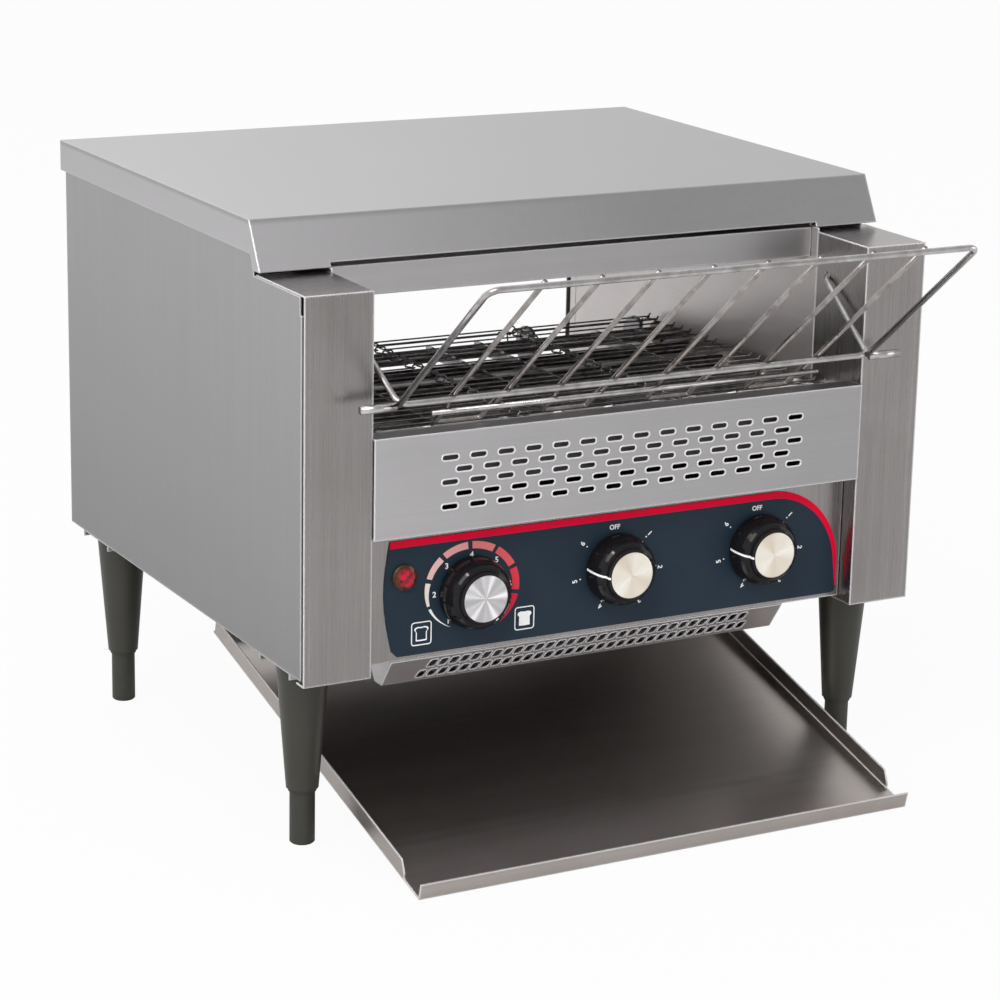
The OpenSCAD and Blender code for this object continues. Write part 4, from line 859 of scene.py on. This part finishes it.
strand = [(-x, y, z) for x, y, z in reversed(edgeHook)]
strand += beltJoint(-look["joint"]) + beltJoint(look["joint"]) + edgeHook
strandMesh = wireMesh([[Vector(p) * mm for p in strand]], look, metals["beltWire"])
beltMesh = spread(strandMesh, [at(0, y, z) for y, z in stations], turns, metals["beltWire"])
standIn("beltStrands", beltMesh, "casing", "belt_wire", "wire_belt")
print("belt has", len(stations), "wires and", len(beltMesh.polygons), "faces")

# Loading rack: four hairpins on three rails, in a frame bent from two wires. low, mid and top are
# the rails' places up the slope, midHalf the fine rail's half length
rackLook = {"tilt": radians(39.4), "foot": (16.0, 290.3), "pitch": 40.0, "half": 180.0,
            "length": 192.4, "weld": 0.3, "narrowing": 3.0, "kink": 4, "low": 41.5, "mid": 22.5,
            "top": 194.0, "midHalf": 149.0, "pivot": (48.0, 357.0), "pivotX": 185.9,
            "pivotEnd": 193, "stub": (182.0, 207.0), "stubDown": 1.0, "stubBelow": 0.6}
rackWires = {"fine": {"radius": 1.75, "bend": 2.6, "steps": 5, "sides": 14},
             "frame": {"radius": 2.1, "bend": 8.0, "steps": 8, "sides": 16},
             "stub": {"radius": 2.8, "bend": 1.0, "steps": 1, "sides": 18}}


def onRack(x, length, below=0.0):  # length up the slope from the wires' ends, below their middle
    tilt = rackLook["tilt"]
    return at(x, rackLook["foot"][0] - length * cos(tilt) - below * sin(tilt),
              rackLook["foot"][1] + length * sin(tilt) - below * cos(tilt))


look = rackLook
half, pivot, pivotX, pivotEnd = (look[key] for key in ("half", "pivot", "pivotX", "pivotEnd"))
low, mid, top, long = (look[key] for key in ("low", "mid", "top", "length"))
fineRadius, frameRadius = rackWires["fine"]["radius"], rackWires["frame"]["radius"]
fineBelow = 2 * fineRadius - look["weld"]  # all three rails are welded under the wires
frameBelow = fineRadius + frameRadius - look["weld"]
railLines = [[onRack(-look["midHalf"], mid, fineBelow), onRack(look["midHalf"], mid, fineBelow)]]
fineLines = []
for i in (-3, -1, 1, 3):
    x1, x2 = (i - 0.5) * look["pitch"], (i + 0.5) * look["pitch"]
    # Below the lower rail the two legs come closer
    left, right = x1 + look["narrowing"], x2 - look["narrowing"]
    lowKink, midKink = low - look["kink"], mid - look["kink"]
    fineLines.append([onRack(x1, long), onRack(x1, lowKink), onRack(left, midKink),
                      onRack(left, 0), onRack(right, 0), onRack(right, midKink),
                      onRack(x2, lowKink), onRack(x2, long)])
lowEnds = [onRack(-half, low, frameBelow), onRack(half, low, frameBelow)]
topEnds = [onRack(-half, top, frameBelow), onRack(half, top, frameBelow)]
frameLines = [[at(-pivotEnd, *pivot), at(-pivotX, *pivot), *lowEnds, at(pivotX, *pivot),
               at(pivotEnd, *pivot)], [lowEnds[0], *topEnds, lowEnds[1]]]
stubLines = [[onRack(side * x, low - look["stubDown"], frameBelow + look["stubBelow"])
              for x in look["stub"]] for side in (-1, 1)]
frameMeshes = [wireMesh(lines, rackWires[kind], metals["brightWire"])
               for kind, lines in (("fine", railLines), ("frame", frameLines), ("stub", stubLines))]
rackFrame = joined("rackFrame", frameMeshes, metals["brightWire"], "rack",
                   smooth=True)
hairpins = wireMesh(fineLines, rackWires["fine"], metals["slopeWire"])
rack = joined("rackWires", [hairpins], metals["slopeWire"], "rack", smooth=True)
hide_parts("loading_rack")
print("rack has", len(rack.data.polygons) + len(rackFrame.data.polygons), "faces")


def rimPiece(name, corners, look, places):  # one closed rim of wire, at each place
    rim = wireMesh([[Vector(p) * mm for p in corners]], look, metals["rimSteel"], closed=True)
    grown = spread(rim, places, [0.0] * len(places), metals["rimSteel"])
    standIn(name, grown, "casing", "panel_steel")


# Bright drawn rims round the vent slots
ventLook = {"face": -2.0, "pitch": 20.6, "row": 8.3, "rows": 5, "count": 14, "top": 270.6,
            "length": 12.6, "height": 4.3, "sunk": 0.12,
            "radius": 0.62, "bend": 2.1, "steps": 5, "sides": 8}
look = ventLook
l, h = look["length"] / 2, look["height"] / 2
places = []
for row in range(look["rows"]):
    count = look["count"] - row % 2
    z = look["top"] - row * look["row"]
    places += [at((i - (count - 1) / 2) * look["pitch"], look["face"] + look["sunk"], z)
               for i in range(count)]
rimPiece("ventRims", [(-l, 0, -h), (l, 0, -h), (l, 0, h), (-l, 0, h)], look, places)

# And round the grille's leaning holes: top is the sloping face's upper edge, shares the rows'
# places down the slope and share the holes' height, both as parts of the slope
grilleLook = {"top": (15.5, 129.2), "run": 14.0, "drop": 19.5, "middle": -13.0, "pitch": 8.15,
              "holes": 32, "width": 6.2, "lean": 1.8, "rowLean": 0.7, "shares": (0.72, 0.27),
              "share": 0.32, "clear": 0.1, "sunk": 0.45,
              "radius": 0.42, "bend": 1.5, "steps": 3, "sides": 6}
look = grilleLook
faceLength = sqrt(look["run"] ** 2 + look["drop"] ** 2)
faceTilt = atan2(look["run"], look["drop"])
w, h = look["width"] / 2 + look["clear"], look["share"] * faceLength / 2 + look["clear"]
rimCorners = [(x + look["lean"] * z / (2 * h), -z * sin(faceTilt), z * cos(faceTilt))
              for x, z in ((-w, -h), (w, -h), (w, h), (-w, h))]
places = []
for row, share in enumerate(look["shares"]):
    down, sunk = share * faceLength, look["sunk"]
    y = look["top"][0] + down * sin(faceTilt) - sunk * cos(faceTilt)
    z = look["top"][1] - down * cos(faceTilt) - sunk * sin(faceTilt)
    count = look["holes"] - row
    left = look["middle"] + row * look["lean"] * look["rowLean"]
    places += [at(left + (i - (count - 1) / 2) * look["pitch"], y, z) for i in range(count)]
rimPiece("grilleRims", rimCorners, look, places)
print("slots and holes have their rims")

# White lines over the knobs' domes. span counts the profile's points, from the skirt to the face,
# and turns are clockwise from the top as seen from the front, at the line's two ends
knobShape = {"skirt": 25.0, "dome": 18.6, "skirtH": 2.0, "domeH": 15.0,
             "rim": [(18.2, 19.5), (16.95, 20.5)]}
pointerLook = {"proud": 0.14, "sunk": 0.25}
pointers = {
    "topPointer": {"node": "top_element_knob", "body": "top_control", "turns": (276, 269),
                   "span": (0, 9), "width": 1.5},
    "bottomPointer": {"node": "bottom_element_knob", "body": "bottom_control",
                      "turns": (276, 269), "span": (0, 9), "width": 1.5},
    "speedMark": {"node": "speed_knob", "body": "speed_control", "turns": (150, 150),
                  "span": (6, 9), "width": 2.2},
}
shape = knobShape
knobProfile = [(shape["dome"] + (shape["skirt"] - shape["dome"]) * cos(radians(t)),
                shape["skirtH"] + shape["domeH"] * sin(radians(t))) for t in range(0, 91, 15)]
knobProfile += shape["rim"]


def pointer(name, look):
    centre = middle(look["node"])
    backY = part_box(look["node"])[1].y
    points, faces = [], []
    line = knobProfile[slice(*look["span"])]
    start, end = look["turns"]
    for i, (r, h) in enumerate(line):
        before, after = line[max(i - 1, 0)], line[min(i + 1, len(line) - 1)]
        along = Vector((after[0] - before[0], after[1] - before[1])).normalized()
        normal = Vector((along.y, -along.x))
        turn = radians(start + (end - start) * i / (len(line) - 1))
        for lift in (pointerLook["proud"], -pointerLook["sunk"]):
            for side in (-1, 1):
                r2, h2 = r + lift * normal.x, h + lift * normal.y
                x = r2 * sin(turn) + side * look["width"] / 2 * cos(turn)
                z = r2 * cos(turn) - side * look["width"] / 2 * sin(turn)
                points.append((centre.x + x * mm, backY - h2 * mm, centre.z + z * mm))
        if i:
            n = 4 * i
            faces += [(n - 4, n - 3, n + 1, n), (n - 2, n + 2, n + 3, n - 1),
                      (n - 4, n, n + 2, n - 2), (n - 3, n - 1, n + 3, n + 1)]
    n = len(points)
    faces += [(0, 2, 3, 1), (n - 4, n - 3, n - 1, n - 2)]
    newPiece(name, points, faces, [paints["printWhite"]], look["body"])


for name, look in pointers.items():
    pointer(name, look)

# Lamp: a cut red lens that hides all but the edge of its bezel, on a round stem. A ring is its
# radius and its height over the overlay, from the stem's end to the lens's tip
lensLook = {"sides": 12, "rings": [(0.0, -26.0), (7.0, -26.0), (7.0, 1.9), (8.5, 2.42),
                                   (8.1, 3.0), (6.0, 4.2), (3.2, 4.8), (0.0, 5.0)]}
centre = middle("lamp_lens")
points, faces = [], []
n, rings = lensLook["sides"], lensLook["rings"]
lensY = [at(0, overlayFace - h, 0).y for r, h in rings]
belts = len(rings) - 2  # the rings between the two ends
for k in range(belts):
    r = rings[k + 1][0] * mm
    for i in range(n):
        turn = tau * (i + (0.5 if k > 2 and k % 2 else 0.0)) / n  # every other cut ring is turned
        points.append((centre.x + r * cos(turn), lensY[k + 1], centre.z + r * sin(turn)))
for k in range(belts - 1):
    for i in range(n):
        a, b = k * n + i, k * n + (i + 1) % n
        faces += [(a, b, b + n), (a, b + n, a + n)]
last = len(points)
points += [(centre.x, lensY[0], centre.z), (centre.x, lensY[-1], centre.z)]
faces += [(last, (i + 1) % n, i) for i in range(n)]
faces += [(last + 1, last - n + i, last - n + (i + 1) % n) for i in range(n)]
lens = newPiece("cutLens", points, faces, [lensRed], "casing")
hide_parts("lamp_lens")

# Folded ends of the two inner walls, towards the rear opening
wallEndLook = {"x": (189.0, 190.0), "y": (402.2, 411.0), "z": (212.0, 344.0)}
boxFaces = ((0, 1, 3, 2), (4, 5, 7, 6), (0, 1, 5, 4), (2, 3, 7, 6), (0, 2, 6, 4), (1, 3, 7, 5))
look = wallEndLook
points, faces = [], []
for side in (-1, 1):
    first = len(points)
    points += [at(side * x, y, z) for z in look["z"] for y in look["y"] for x in look["x"]]
    faces += [tuple(first + i for i in face) for face in boxFaces]
newPiece("wallEnds", points, faces, [metals["innerSteel"]], "casing")
print("knobs and lamp are done")
